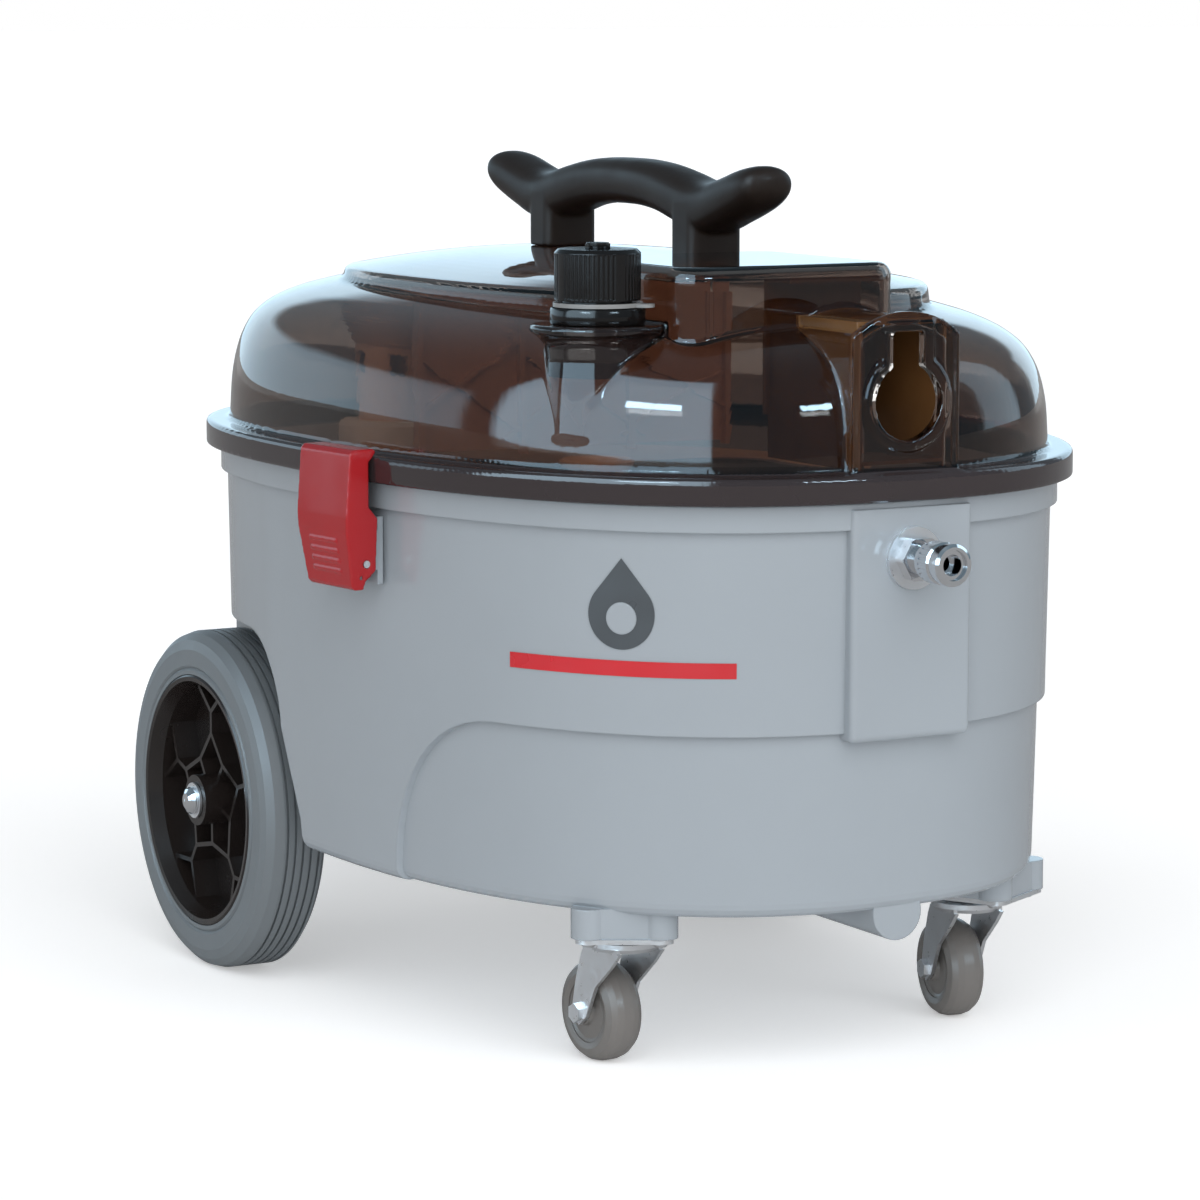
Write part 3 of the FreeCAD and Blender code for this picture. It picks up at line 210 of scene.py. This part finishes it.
def add_piece(name, mesh, body, finish, smooth=40.0):
    """New object on a CAD body with one material; smooth is the sharpest angle still shaded smooth."""
    piece = bpy.data.objects.new(name, mesh)
    bpy.context.scene.collection.objects.link(piece)
    mesh.materials.clear()
    mesh.materials.append(finish)
    shade(mesh, smooth)
    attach(piece, body)
    return piece


def shade(mesh, angle):
    mesh.shade_smooth()
    mesh.set_sharp_from_angle(angle=math.radians(angle))


def mesh_from(name, points, faces):
    mesh = bpy.data.meshes.new(name)
    mesh.from_pydata(points, [], faces)
    mesh.validate()
    return mesh


def skin_faces(rows, count):
    """Faces that join rows of count points into a closed skin."""
    faces = []
    for r in range(rows - 1):
        for k in range(count):
            after = (k + 1) % count
            faces.append((r * count + k, r * count + after, (r + 1) * count + after, (r + 1) * count + k))
    faces.append(tuple(reversed(range(count))))
    faces.append(tuple((rows - 1) * count + k for k in range(count)))
    return faces


def rim_point(turn, inset):
    """Plan outline of the machine shrunk by inset; turn goes from 0 to 1."""
    c = math.cos(2 * math.pi * turn)
    s = math.sin(2 * math.pi * turn)
    power = 2.0 / (FRONT_POWER if s < 0 else REAR_POWER)
    reach = (RIM_FRONT if s < 0 else RIM_REAR) - inset
    x = (RIM_HALF_WIDTH - inset) * math.copysign(abs(c) ** power, c)
    y = reach * math.copysign(abs(s) ** power, s)
    return x, RIM_CENTRE_Y + y, y


def even_turns(count):
    """Turns that are evenly spaced along the outline."""
    fine = 4000
    points = [rim_point(k / fine, 0.0) for k in range(fine + 1)]
    lengths = [0.0]
    for a, b in zip(points, points[1:]):
        lengths.append(lengths[-1] + math.hypot(b[0] - a[0], b[1] - a[1]))
    turns = []
    k = 0
    for step in range(count):
        target = lengths[-1] * step / count
        while lengths[k + 1] < target:
            k += 1
        turns.append((k + (target - lengths[k]) / (lengths[k + 1] - lengths[k])) / fine)
    return turns


def stack_mesh(name, rows, count=300):
    """Closed mesh through outlines given as (inset, z, tilt), bottom first."""
    turns = even_turns(count)
    points = []
    for inset, z, tilt in rows:
        for turn in turns:
            x, y, from_centre = rim_point(turn, inset)
            points.append((x, y, z + tilt * from_centre))
    return mesh_from(name, points, skin_faces(len(rows), count))


def smooth_rows(rows, parts):
    """Rows on a Catmull-Rom curve through the given ones."""
    out = []
    for k in range(len(rows) - 1):
        before = rows[max(0, k - 1)]
        here, after = rows[k], rows[k + 1]
        beyond = rows[min(len(rows) - 1, k + 2)]
        for step in range(parts):
            t = step / parts
            point = []
            for a, b, c, d in zip(before, here, after, beyond):
                point.append(0.5 * (2 * b + (c - a) * t + (2 * a - 5 * b + 4 * c - d) * t * t
                                    + (3 * b - a - 3 * c + d) * t * t * t))
            out.append(tuple(point))
    out.append(tuple(rows[-1]))
    return out


def turn_out(mesh, merge=0.0):
    """Makes all faces look outwards, after points closer than merge are made one."""
    fixed = bmesh.new()
    fixed.from_mesh(mesh)
    if merge:
        bmesh.ops.remove_doubles(fixed, verts=fixed.verts, dist=merge)
    bmesh.ops.recalc_face_normals(fixed, faces=fixed.faces)
    fixed.to_mesh(mesh)
    fixed.free()


def lathe_mesh(name, profile, at, count=96):
    """Closed mesh of revolution about an upright axis from (radius, height) points."""
    points = []
    for r, h in profile:
        for k in range(count):
            a = 2 * math.pi * k / count
            points.append((r * math.cos(a) + at[0], r * math.sin(a) + at[1], h + at[2]))
    faces = []
    n = len(profile)
    for r in range(n):
        below = (r + 1) % n
        if profile[r][0] < 1e-7 and profile[below][0] < 1e-7:
            continue
        for k in range(count):
            after = (k + 1) % count
            faces.append((r * count + k, r * count + after, below * count + after, below * count + k))
    mesh = mesh_from(name, points, faces)
    turn_out(mesh, 1e-6)
    return mesh


def prism_mesh(name, outline, start, end):
    """Closed prism of a flat outline of (across, up) points, along Y."""
    n = len(outline)
    points = [(across, along, up) for along in (start, end) for across, up in outline]
    faces = [(k, (k + 1) % n, n + (k + 1) % n, n + k) for k in range(n)]
    faces.append(tuple(reversed(range(n))))
    faces.append(tuple(n + k for k in range(n)))
    mesh = mesh_from(name, points, faces)
    turn_out(mesh)
    return mesh


def rounded_box(name, low, high, corner, top=0.0, steps=6):
    """Box with rounded upright corners, and a rounded top edge if top is given."""
    rings = []
    levels = [(0.0, low[2])]
    if top:
        for k in range(steps + 1):
            a = k * math.pi / 2 / steps
            levels.append((top * (1 - math.cos(a)), high[2] - top * (1 - math.sin(a))))
    else:
        levels.append((0.0, high[2]))
    for inset, z in levels:
        r = max(corner - inset, 0.0005)
        ring = []
        corners = ((high[0], high[1]), (low[0], high[1]), (low[0], low[1]), (high[0], low[1]))
        for first, (cx, cy) in enumerate(corners):
            mx = cx - math.copysign(inset + r, cx - (low[0] + high[0]) / 2)
            my = cy - math.copysign(inset + r, cy - (low[1] + high[1]) / 2)
            for k in range(steps + 1):
                a = (first + k / steps) * math.pi / 2
                ring.append((mx + r * math.cos(a), my + r * math.sin(a), z))
        rings.append(ring)
    count = len(rings[0])
    points = [p for ring in rings for p in ring]
    return mesh_from(name, points, skin_faces(len(rings), count))


def combined(name, first, added=(), removed=()):
    """Exact union and difference of closed meshes, as a new mesh."""
    base = bpy.data.objects.new(name, first)
    bpy.context.scene.collection.objects.link(base)
    tools = []
    for kind, meshes in (("UNION", added), ("DIFFERENCE", removed)):
        for mesh in meshes:
            tool = bpy.data.objects.new(name + "_tool", mesh)
            bpy.context.scene.collection.objects.link(tool)
            tools.append(tool)
            step = base.modifiers.new("step", "BOOLEAN")
            step.operation = kind
            step.solver = "EXACT"
            step.object = tool
    mesh = applied(base)
    for tool in tools:
        bpy.data.objects.remove(tool)
    bpy.data.objects.remove(base)
    return mesh


def applied(piece):
    """The mesh of an object with its modifiers applied."""
    graph = bpy.context.evaluated_depsgraph_get()
    graph.update()
    return bpy.data.meshes.new_from_object(piece.evaluated_get(graph))


def softened(name, mesh, voxel, rounds):
    """Fuses a mesh into one skin whose edges and joins are rounded."""
    piece = bpy.data.objects.new(name, mesh)
    bpy.context.scene.collection.objects.link(piece)
    remesh = piece.modifiers.new("skin", "REMESH")
    remesh.mode = "VOXEL"
    remesh.voxel_size = voxel
    relax = piece.modifiers.new("relax", "SMOOTH")
    relax.factor = 0.5
    relax.iterations = rounds
    out = applied(piece)
    bpy.data.objects.remove(piece)
    return out


# ---------------------------------------------------------------- smoked lid

LID_BOTTOM = 0.310
RIM_TOP = 0.3245
LID_WALL = 0.0035
ISLAND_INSET = 0.078
ISLAND_FOOT = 0.4035
ISLAND_EDGE = 0.410
CROWN_TOP = 0.4256
PORT_Z = 0.3618
PORT_R = 0.0201
PORT_FACE_Y = -0.2702
NECK_AT = (-0.125, -0.1638, 0.400)
NECK_BORE_R = 0.0225
BOX_LOW = (-0.098, -0.2068, 0.372)
BOX_HIGH = (0.038, -0.070, 0.430)
BOX_CORNER = 0.018
TUNNEL_INSET = 0.0022
KEYHOLE_BORDER = 0.0055
DOME_WALL = [(13.3, 326, 0.0), (13.9, 338, 0.0), (14.8, 350, 0.003), (17.0, 362, 0.007),
             (20.6, 373, 0.011), (27.0, 383.5, 0.015), (37.0, 391.6, 0.0167), (50.0, 397.6, 0.0167),
             (64.0, 401.8, 0.0167), (77.0, 405.0, 0.0167)]


def lid_rows(inward):
    """Sections of the lid's outside, or of its inside when inward is the wall thickness."""
    rows = []
    if inward:
        rows.append((0.0165, LID_BOTTOM - 0.004, 0.0))
    else:
        rows += [(0.0, LID_BOTTOM, 0.0), (0.0, 0.3226, 0.0), (0.0006, 0.3239, 0.0), (0.0019, RIM_TOP, 0.0),
                 (0.0120, RIM_TOP, 0.0), (0.0130, 0.3249, 0.0)]
    wall = [(i * MM, z * MM, t) for i, z, t in DOME_WALL]
    rows += [(i + inward, z - inward * min(1.0, (z - 0.326) / 0.07), t) for i, z, t in smooth_rows(wall, 4)]
    island = [(ISLAND_INSET, ISLAND_EDGE)]
    for k in range(1, 7):
        a = k * math.pi / 14
        island.append((ISLAND_INSET + 0.004 * (1 - math.cos(a)), ISLAND_EDGE + 0.004 * math.sin(a)))
    for k in range(1, 15):
        u = k / 14
        island.append((0.0815 + 0.115 * u, 0.4139 + (CROWN_TOP - 0.4139) * (1 - (1 - u) ** 2)))
    rows += [(i + inward, z - inward, 0.0) for i, z in island]
    return rows


def outside_wall(x, y, inset=0.0127):
    """True beyond the outline of the dome's wall, which is on the rim."""
    from_centre = y - RIM_CENTRE_Y
    power = FRONT_POWER if from_centre < 0 else REAR_POWER
    reach = (RIM_FRONT if from_centre < 0 else RIM_REAR) - inset
    return abs(x / (RIM_HALF_WIDTH - inset)) ** power + abs(from_centre / reach) ** power > 1


def port_outline(grow):
    """Flat sides under an arched top."""
    half = 0.0326 + grow
    shoulder = 0.3972 + 0.6 * grow
    crown = 0.4086 + grow
    rise = crown - shoulder
    radius = (half * half + rise * rise) / (2 * rise)
    sweep = math.asin(half / radius)
    points = [(half, LID_BOTTOM + 0.002)]
    for k in range(17):
        a = sweep * (1 - k / 8)
        points.append((radius * math.sin(a), crown - radius * (1 - math.cos(a))))
    points.append((-half, LID_BOTTOM + 0.002))
    return points


def keyhole_outline(grow):
    """Round hose hole with a square key slot above it."""
    r = PORT_R + grow
    slot = 0.0095 + grow
    start = math.acos(slot / r)
    points = [(slot, 0.398 + grow), (-slot, 0.398 + grow)]
    sweep = 2 * math.pi - (math.pi - 2 * start)
    for k in range(41):
        a = math.pi - start + sweep * k / 40
        points.append((r * math.cos(a), PORT_Z + r * math.sin(a)))
    return points


def make_lid():
    outside = stack_mesh("lid_out", lid_rows(0.0))
    inside = stack_mesh("lid_in", lid_rows(LID_WALL))
    w = LID_WALL
    in_low = (BOX_LOW[0] + w, BOX_LOW[1] + w, BOX_LOW[2])
    in_high = (BOX_HIGH[0] - w, BOX_HIGH[1] - w, BOX_HIGH[2] - w)
    box_out = rounded_box("box_out", BOX_LOW, BOX_HIGH, BOX_CORNER, 0.007)
    box_in = rounded_box("box_in", in_low, in_high, BOX_CORNER - w, 0.004)
    tunnel = prism_mesh("tunnel", port_outline(-TUNNEL_INSET), PORT_FACE_Y + 0.004, -0.196)
    plate = prism_mesh("plate", port_outline(0.0), PORT_FACE_Y + 0.0004, PORT_FACE_Y + 0.0062)
    border_outline = keyhole_outline(KEYHOLE_BORDER)
    border = prism_mesh("border", border_outline, PORT_FACE_Y - 0.0016, PORT_FACE_Y + 0.003)
    tunnel_in = prism_mesh("tunnel_in", port_outline(-TUNNEL_INSET - w), PORT_FACE_Y + 0.006, -0.190)
    hole = prism_mesh("hole", keyhole_outline(0.0), PORT_FACE_Y - 0.01, PORT_FACE_Y + 0.012)
    neck = lathe_mesh("neck", [(0.0001, -0.058), (0.0310, -0.058), (0.0290, -0.034), (0.0272, -0.018),
                               (0.0282, -0.0105), (0.0325, -0.0058), (0.0357, -0.0042), (0.0360, -0.0014),
                               (0.0352, 0.0), (0.0001, 0.0)], NECK_AT)
    bore = lathe_mesh("bore", [(0.0001, -0.060), (NECK_BORE_R, -0.060), (NECK_BORE_R, 0.010),
                               (0.0001, 0.010)], NECK_AT)
    shell = combined("lid", outside, [box_out, tunnel, plate, border, neck],
                     [inside, box_in, tunnel_in, hole, bore])
    mesh = softened("lid", shell, 0.0013, 2)
    piece = add_piece("smoked_lid", mesh, "lid", LID, 60.0)
    mesh.materials.append(AMBER)
    mesh.materials.append(RIM)
    for face in mesh.polygons:
        x, y, z = face.center
        in_tunnel = abs(x) < 0.0285 and -0.2625 < y < -0.19 and 0.3285 < z < 0.4035
        in_neck = math.hypot(x - NECK_AT[0], y - NECK_AT[1]) < NECK_BORE_R + 0.0013 and z > BOX_LOW[2]
        if in_tunnel:
            face.material_index = 1
        elif in_neck or (z < 0.3262 and outside_wall(x, y)):
            face.material_index = 2
    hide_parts("lid_dome")
    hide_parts("hose_port_plate")


make_lid()


# ---------------------------------------------------------------- lifting handle

# half of the bar from its middle to the horn's tip, in mm: along, centre height, half width,
# half height, and how square its section is
GRIP = [(0, 466.2, 15.5, 13.0, 2.7), (20, 465.8, 15.5, 13.1, 2.7), (42, 463.6, 15.8, 13.4, 2.7),
        (64, 459.2, 16.4, 14.0, 2.8), (84, 454.8, 16.8, 14.2, 2.9), (100, 455.0, 16.8, 14.0, 2.9),
        (116, 459.2, 16.8, 13.6, 2.7), (131, 463.6, 16.8, 13.4, 2.5), (143, 466.8, 16.4, 12.2, 2.3),
        (150, 468.8, 14.8, 9.6, 2.2), (153.4, 470.0, 10.4, 6.0, 2.1), (154.8, 470.4, 3.0, 1.6, 2.0)]
HANDLE_Y = 0.02025
LEG_REACH = 0.08325
LEG_HALF = (0.0168, 0.0124)
LEG_TOP = 0.4580


def make_handle():
    half = smooth_rows(GRIP, 4)
    rows = [(-s, z, w, h, p) for s, z, w, h, p in reversed(half[1:])] + half
    count = 40
    points = []
    for s, z, w, h, p in rows:
        for k in range(count):
            a = 2 * math.pi * k / count
            c, d = math.cos(a), math.sin(a)
            x = w * math.copysign(abs(c) ** (2 / p), c)
            up = h * math.copysign(abs(d) ** (2 / p), d)
            points.append((x * MM, HANDLE_Y + s * MM, (z + up) * MM))
    bar = mesh_from("bar", points, skin_faces(len(rows), count))
    turn_out(bar)
    legs = []
    for side in (-1, 1):
        y = HANDLE_Y + side * LEG_REACH
        low = (-LEG_HALF[0], y - LEG_HALF[1], CROWN_TOP)
        high = (LEG_HALF[0], y + LEG_HALF[1], LEG_TOP)
        legs.append(rounded_box("leg", low, high, 0.005))
    whole = combined("handle", bar, legs)
    mesh = softened("handle", whole, 0.0012, 6)
    piece = add_piece("grip_handle", mesh, "lid", DARK, 80.0)
    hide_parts("lid_handle")


make_handle()


# ---------------------------------------------------------------- filler neck, latches and marks

def make_neck_ring():
    profile = [(0.0150, -0.0012), (0.0222, -0.0012), (0.0224, 0.0001), (0.0246, 0.0001), (0.0252, 0.0012),
               (0.0252, 0.0076), (0.0246, 0.0086), (0.0184, 0.0086), (0.0184, 0.0300), (0.0150, 0.0300)]
    mesh = lathe_mesh("neck_ring", profile, NECK_AT)
    piece = add_piece("neck_ring", mesh, "lid", BLACK)
    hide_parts("neck_insert")


def make_latches():
    """The levers with moulded, rounded edges."""
    for side in ("left", "right"):
        node = NODES[side + "_latch"]
        source = node.data.copy()
        mesh = softened(side, source, 0.0006, 5)
        mesh.transform(node.matrix_world)
        piece = add_piece(side + "_latch_lever", mesh, "latch_" + side, RED, 80.0)
        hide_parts(side + "_latch")


WALL_LOW = (0.188, 0.0132)
WALL_HIGH = (0.2975, 0.0116)
MARK_TURN = 0.6432
TURN_PER_METRE = 0.725
MARK_Z = 0.257
FILM_LIFT = 0.00035


def on_wall(across, z, lift):
    """Point on the tank's upper wall, across metres along it from the mark's middle."""
    share = (z - WALL_LOW[0]) / (WALL_HIGH[0] - WALL_LOW[0])
    inset = WALL_LOW[1] + share * (WALL_HIGH[1] - WALL_LOW[1])
    x, y, _ = rim_point(MARK_TURN + across * TURN_PER_METRE, inset - lift)
    return x, y, z


def wall_film(name, spans, lift, finish):
    """Film on the wall through upright spans given as (across, low z, high z)."""
    rows = 6
    points = []
    for across, low, high in spans:
        for r in range(rows + 1):
            points.append(on_wall(across, low + (high - low) * r / rows, lift))
    faces = []
    for k in range(len(spans) - 1):
        for r in range(rows):
            a = k * (rows + 1) + r
            faces.append((a, a + rows + 1, a + rows + 2, a + 1))
    piece = bpy.data.objects.new(name, mesh_from(name, points, faces))
    bpy.context.scene.collection.objects.link(piece)
    thick = piece.modifiers.new("film", "SOLIDIFY")
    thick.thickness = 0.0002
    thick.offset = 0.0
    mesh = applied(piece)
    bpy.data.objects.remove(piece)
    return add_piece(name, mesh, "tank", finish)


def disc_spans(radius, z, count=24):
    spans = []
    for k in range(count + 1):
        a = math.pi * k / count
        half = max(radius * math.sin(a), 0.00002)
        spans.append((-radius * math.cos(a), z - half, z + half))
    return spans


def make_marks():
    radius = 0.0185
    middle = MARK_Z - 0.0055
    tip = MARK_Z + 0.0240
    touch = math.acos(radius / (tip - middle))
    drop = []
    for across, low, high in disc_spans(radius, middle, 48):
        edge = radius * math.sin(touch)
        if abs(across) < edge:
            high = tip - (tip - middle - radius * math.cos(touch)) * abs(across) / edge
        drop.append((across, low, high))
    film = wall_film("drop_mark", drop, FILM_LIFT, MARK)
    wall_film("drop_mark_hole", disc_spans(0.0085, middle - 0.002), FILM_LIFT + 0.0002, TANK)
    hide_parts("front_emblem")
    low, high, reach = 0.2190, 0.2272, 0.0640
    bar = [(-reach + 2 * reach * k / 40, low, high) for k in range(41)]
    film = wall_film("stripe_mark", bar, FILM_LIFT, STRIPE)
    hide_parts("front_stripe")


def make_deflector():
    """Sleeve in the hose tunnel with the plate that turns the water down at its end."""
    half = 0.0268
    wall = 0.002
    front = -0.2630
    back = rounded_box("back", (-0.030, -0.176, 0.350), (0.030, -0.173, 0.423), 0.001)
    added = [rounded_box("roof", (-0.030, -0.200, 0.420), (0.030, -0.1735, 0.423), 0.001)]
    for x in (-half, half - wall):
        added.append(rounded_box("cheek", (x, front, 0.326), (x + wall, -0.1735, 0.4030), 0.0008))
    for z, rear in ((0.4015, -0.1990), (0.3290, -0.2200)):
        added.append(rounded_box("sleeve", (-half, front, z), (half, rear, z + wall), 0.0008))
    piece = add_piece("deflector_hood", combined("hood", back, added), "lid", AMBER)
    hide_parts("hose_deflector")


make_neck_ring()
make_deflector()
make_latches()
make_marks()


# ---------------------------------------------------------------- camera, floor and light

def add_camera():
    data = bpy.data.cameras.new("camera")
    data.sensor_width = 36.0
    data.lens = 135.26
    data.clip_end = 200.0
    camera = bpy.data.objects.new("camera", data)
    camera.location = (-1.2738, -2.22985, 0.5676)
    camera.rotation_euler = (math.pi / 2 - 0.132, 0.0, -0.508)
    bpy.context.scene.collection.objects.link(camera)
    bpy.context.scene.camera = camera


def add_floor():
    mesh = bpy.data.meshes.new("floor")
    half = 80.0
    corners = [(-half, -half, 0), (half, -half, 0), (half, half, 0), (-half, half, 0)]
    mesh.from_pydata(corners, [], [(0, 1, 2, 3)])
    floor = bpy.data.objects.new("floor", mesh)
    bpy.context.scene.collection.objects.link(floor)
    material, tree, shader = start_material("floor", (0.90, 0.90, 0.90), 0.8, Emission_Strength=0.32)
    dim = tree.nodes.new("ShaderNodeBsdfDiffuse")  # what the part's glossy surfaces see of the floor
    dim.inputs["Color"].default_value = (0.42, 0.42, 0.42, 1.0)
    surface = mix_shaders(tree, "Is Glossy Ray", shader.outputs["BSDF"], dim.outputs["BSDF"])
    link(tree, surface, tree.nodes["Material Output"].inputs["Surface"])
    mesh.materials.append(material)


# softboxes as (azimuth from, to, elevation from, to, strength, strength in reflections), in degrees,
# azimuth from +Y towards +X
SOFTBOXES = [
    (-60, 64, -6, 17, 1.6, 1.5),
    (-144, -69, -6, 56, 0.65, 4.9),
    (152, 232, -4, 62, 2.7, 0.0),
    (84, 112, -4, 42, 0.4, 1.5),
    (-131, -109, 23, 27, 0.0, 34.0),
    (157, 176, 21.5, 25, 0.0, 34.0),
]
AMBIENT = 0.22
REFLECTED_AMBIENT = 0.26


def add_world():
    world = bpy.data.worlds.new("studio")
    bpy.context.scene.world = world
    world.use_nodes = True
    tree = world.node_tree
    tree.nodes.clear()
    coords = tree.nodes.new("ShaderNodeTexCoord")
    split = tree.nodes.new("ShaderNodeSeparateXYZ")
    link(tree, coords.outputs["Generated"], split.inputs["Vector"])

    def math_node(kind, a, b=None):
        node = tree.nodes.new("ShaderNodeMath")
        node.operation = kind
        for k, value in enumerate((a, b)):
            if value is None:
                continue
            if isinstance(value, (int, float)):
                node.inputs[k].default_value = value
            else:
                link(tree, value, node.inputs[k])
        return node.outputs[0]

    elevation = math_node("MULTIPLY", math_node("ARCSINE", split.outputs["Z"]), 180 / math.pi)

    def edge(value, low, soft):
        node = tree.nodes.new("ShaderNodeMapRange")
        node.interpolation_type = "SMOOTHSTEP"
        node.inputs["From Min"].default_value = low - soft
        node.inputs["From Max"].default_value = low + soft
        link(tree, value, node.inputs["Value"])
        return node.outputs["Result"]

    totals = [None, None]
    for az0, az1, el0, el1, *strengths in SOFTBOXES:
        middle = math.radians((az0 + az1) / 2)
        half = (az1 - az0) / 2
        across = math_node("SUBTRACT", math_node("MULTIPLY", split.outputs["X"], math.cos(middle)),
                           math_node("MULTIPLY", split.outputs["Y"], math.sin(middle)))
        along = math_node("ADD", math_node("MULTIPLY", split.outputs["X"], math.sin(middle)),
                          math_node("MULTIPLY", split.outputs["Y"], math.cos(middle)))
        off = math_node("ABSOLUTE", math_node("MULTIPLY", math_node("ARCTAN2", across, along), 180 / math.pi))
        soft = min(2.0, (el1 - el0) / 6)
        inside = math_node("SUBTRACT", 1.0, edge(off, half, soft))
        inside = math_node("MULTIPLY", inside, edge(elevation, el0, soft))
        inside = math_node("MULTIPLY", inside, math_node("SUBTRACT", 1.0, edge(elevation, el1, soft)))
        for k, strength in enumerate(strengths):
            part = math_node("MULTIPLY", inside, strength)
            totals[k] = part if totals[k] is None else math_node("ADD", totals[k], part)
    light = tree.nodes.new("ShaderNodeBackground")
    light.inputs["Color"].default_value = (0.97, 0.985, 1.0, 1.0)
    link(tree, math_node("ADD", totals[0], AMBIENT), light.inputs["Strength"])
    gloss = tree.nodes.new("ShaderNodeBackground")
    gloss.inputs["Color"].default_value = (0.62, 0.84, 1.0, 1.0)
    link(tree, math_node("ADD", totals[1], REFLECTED_AMBIENT), gloss.inputs["Strength"])
    plain = tree.nodes.new("ShaderNodeBackground")
    plain.inputs["Color"].default_value = (1.0, 1.0, 1.0, 1.0)
    lit = mix_shaders(tree, "Is Glossy Ray", light.outputs["Background"], gloss.outputs["Background"])
    seen = mix_shaders(tree, "Is Camera Ray", lit, plain.outputs["Background"])
    out = tree.nodes.new("ShaderNodeOutputWorld")
    link(tree, seen, out.inputs["Surface"])


add_camera()
add_floor()
add_world()
bpy.context.scene.view_settings.view_transform = "Standard"
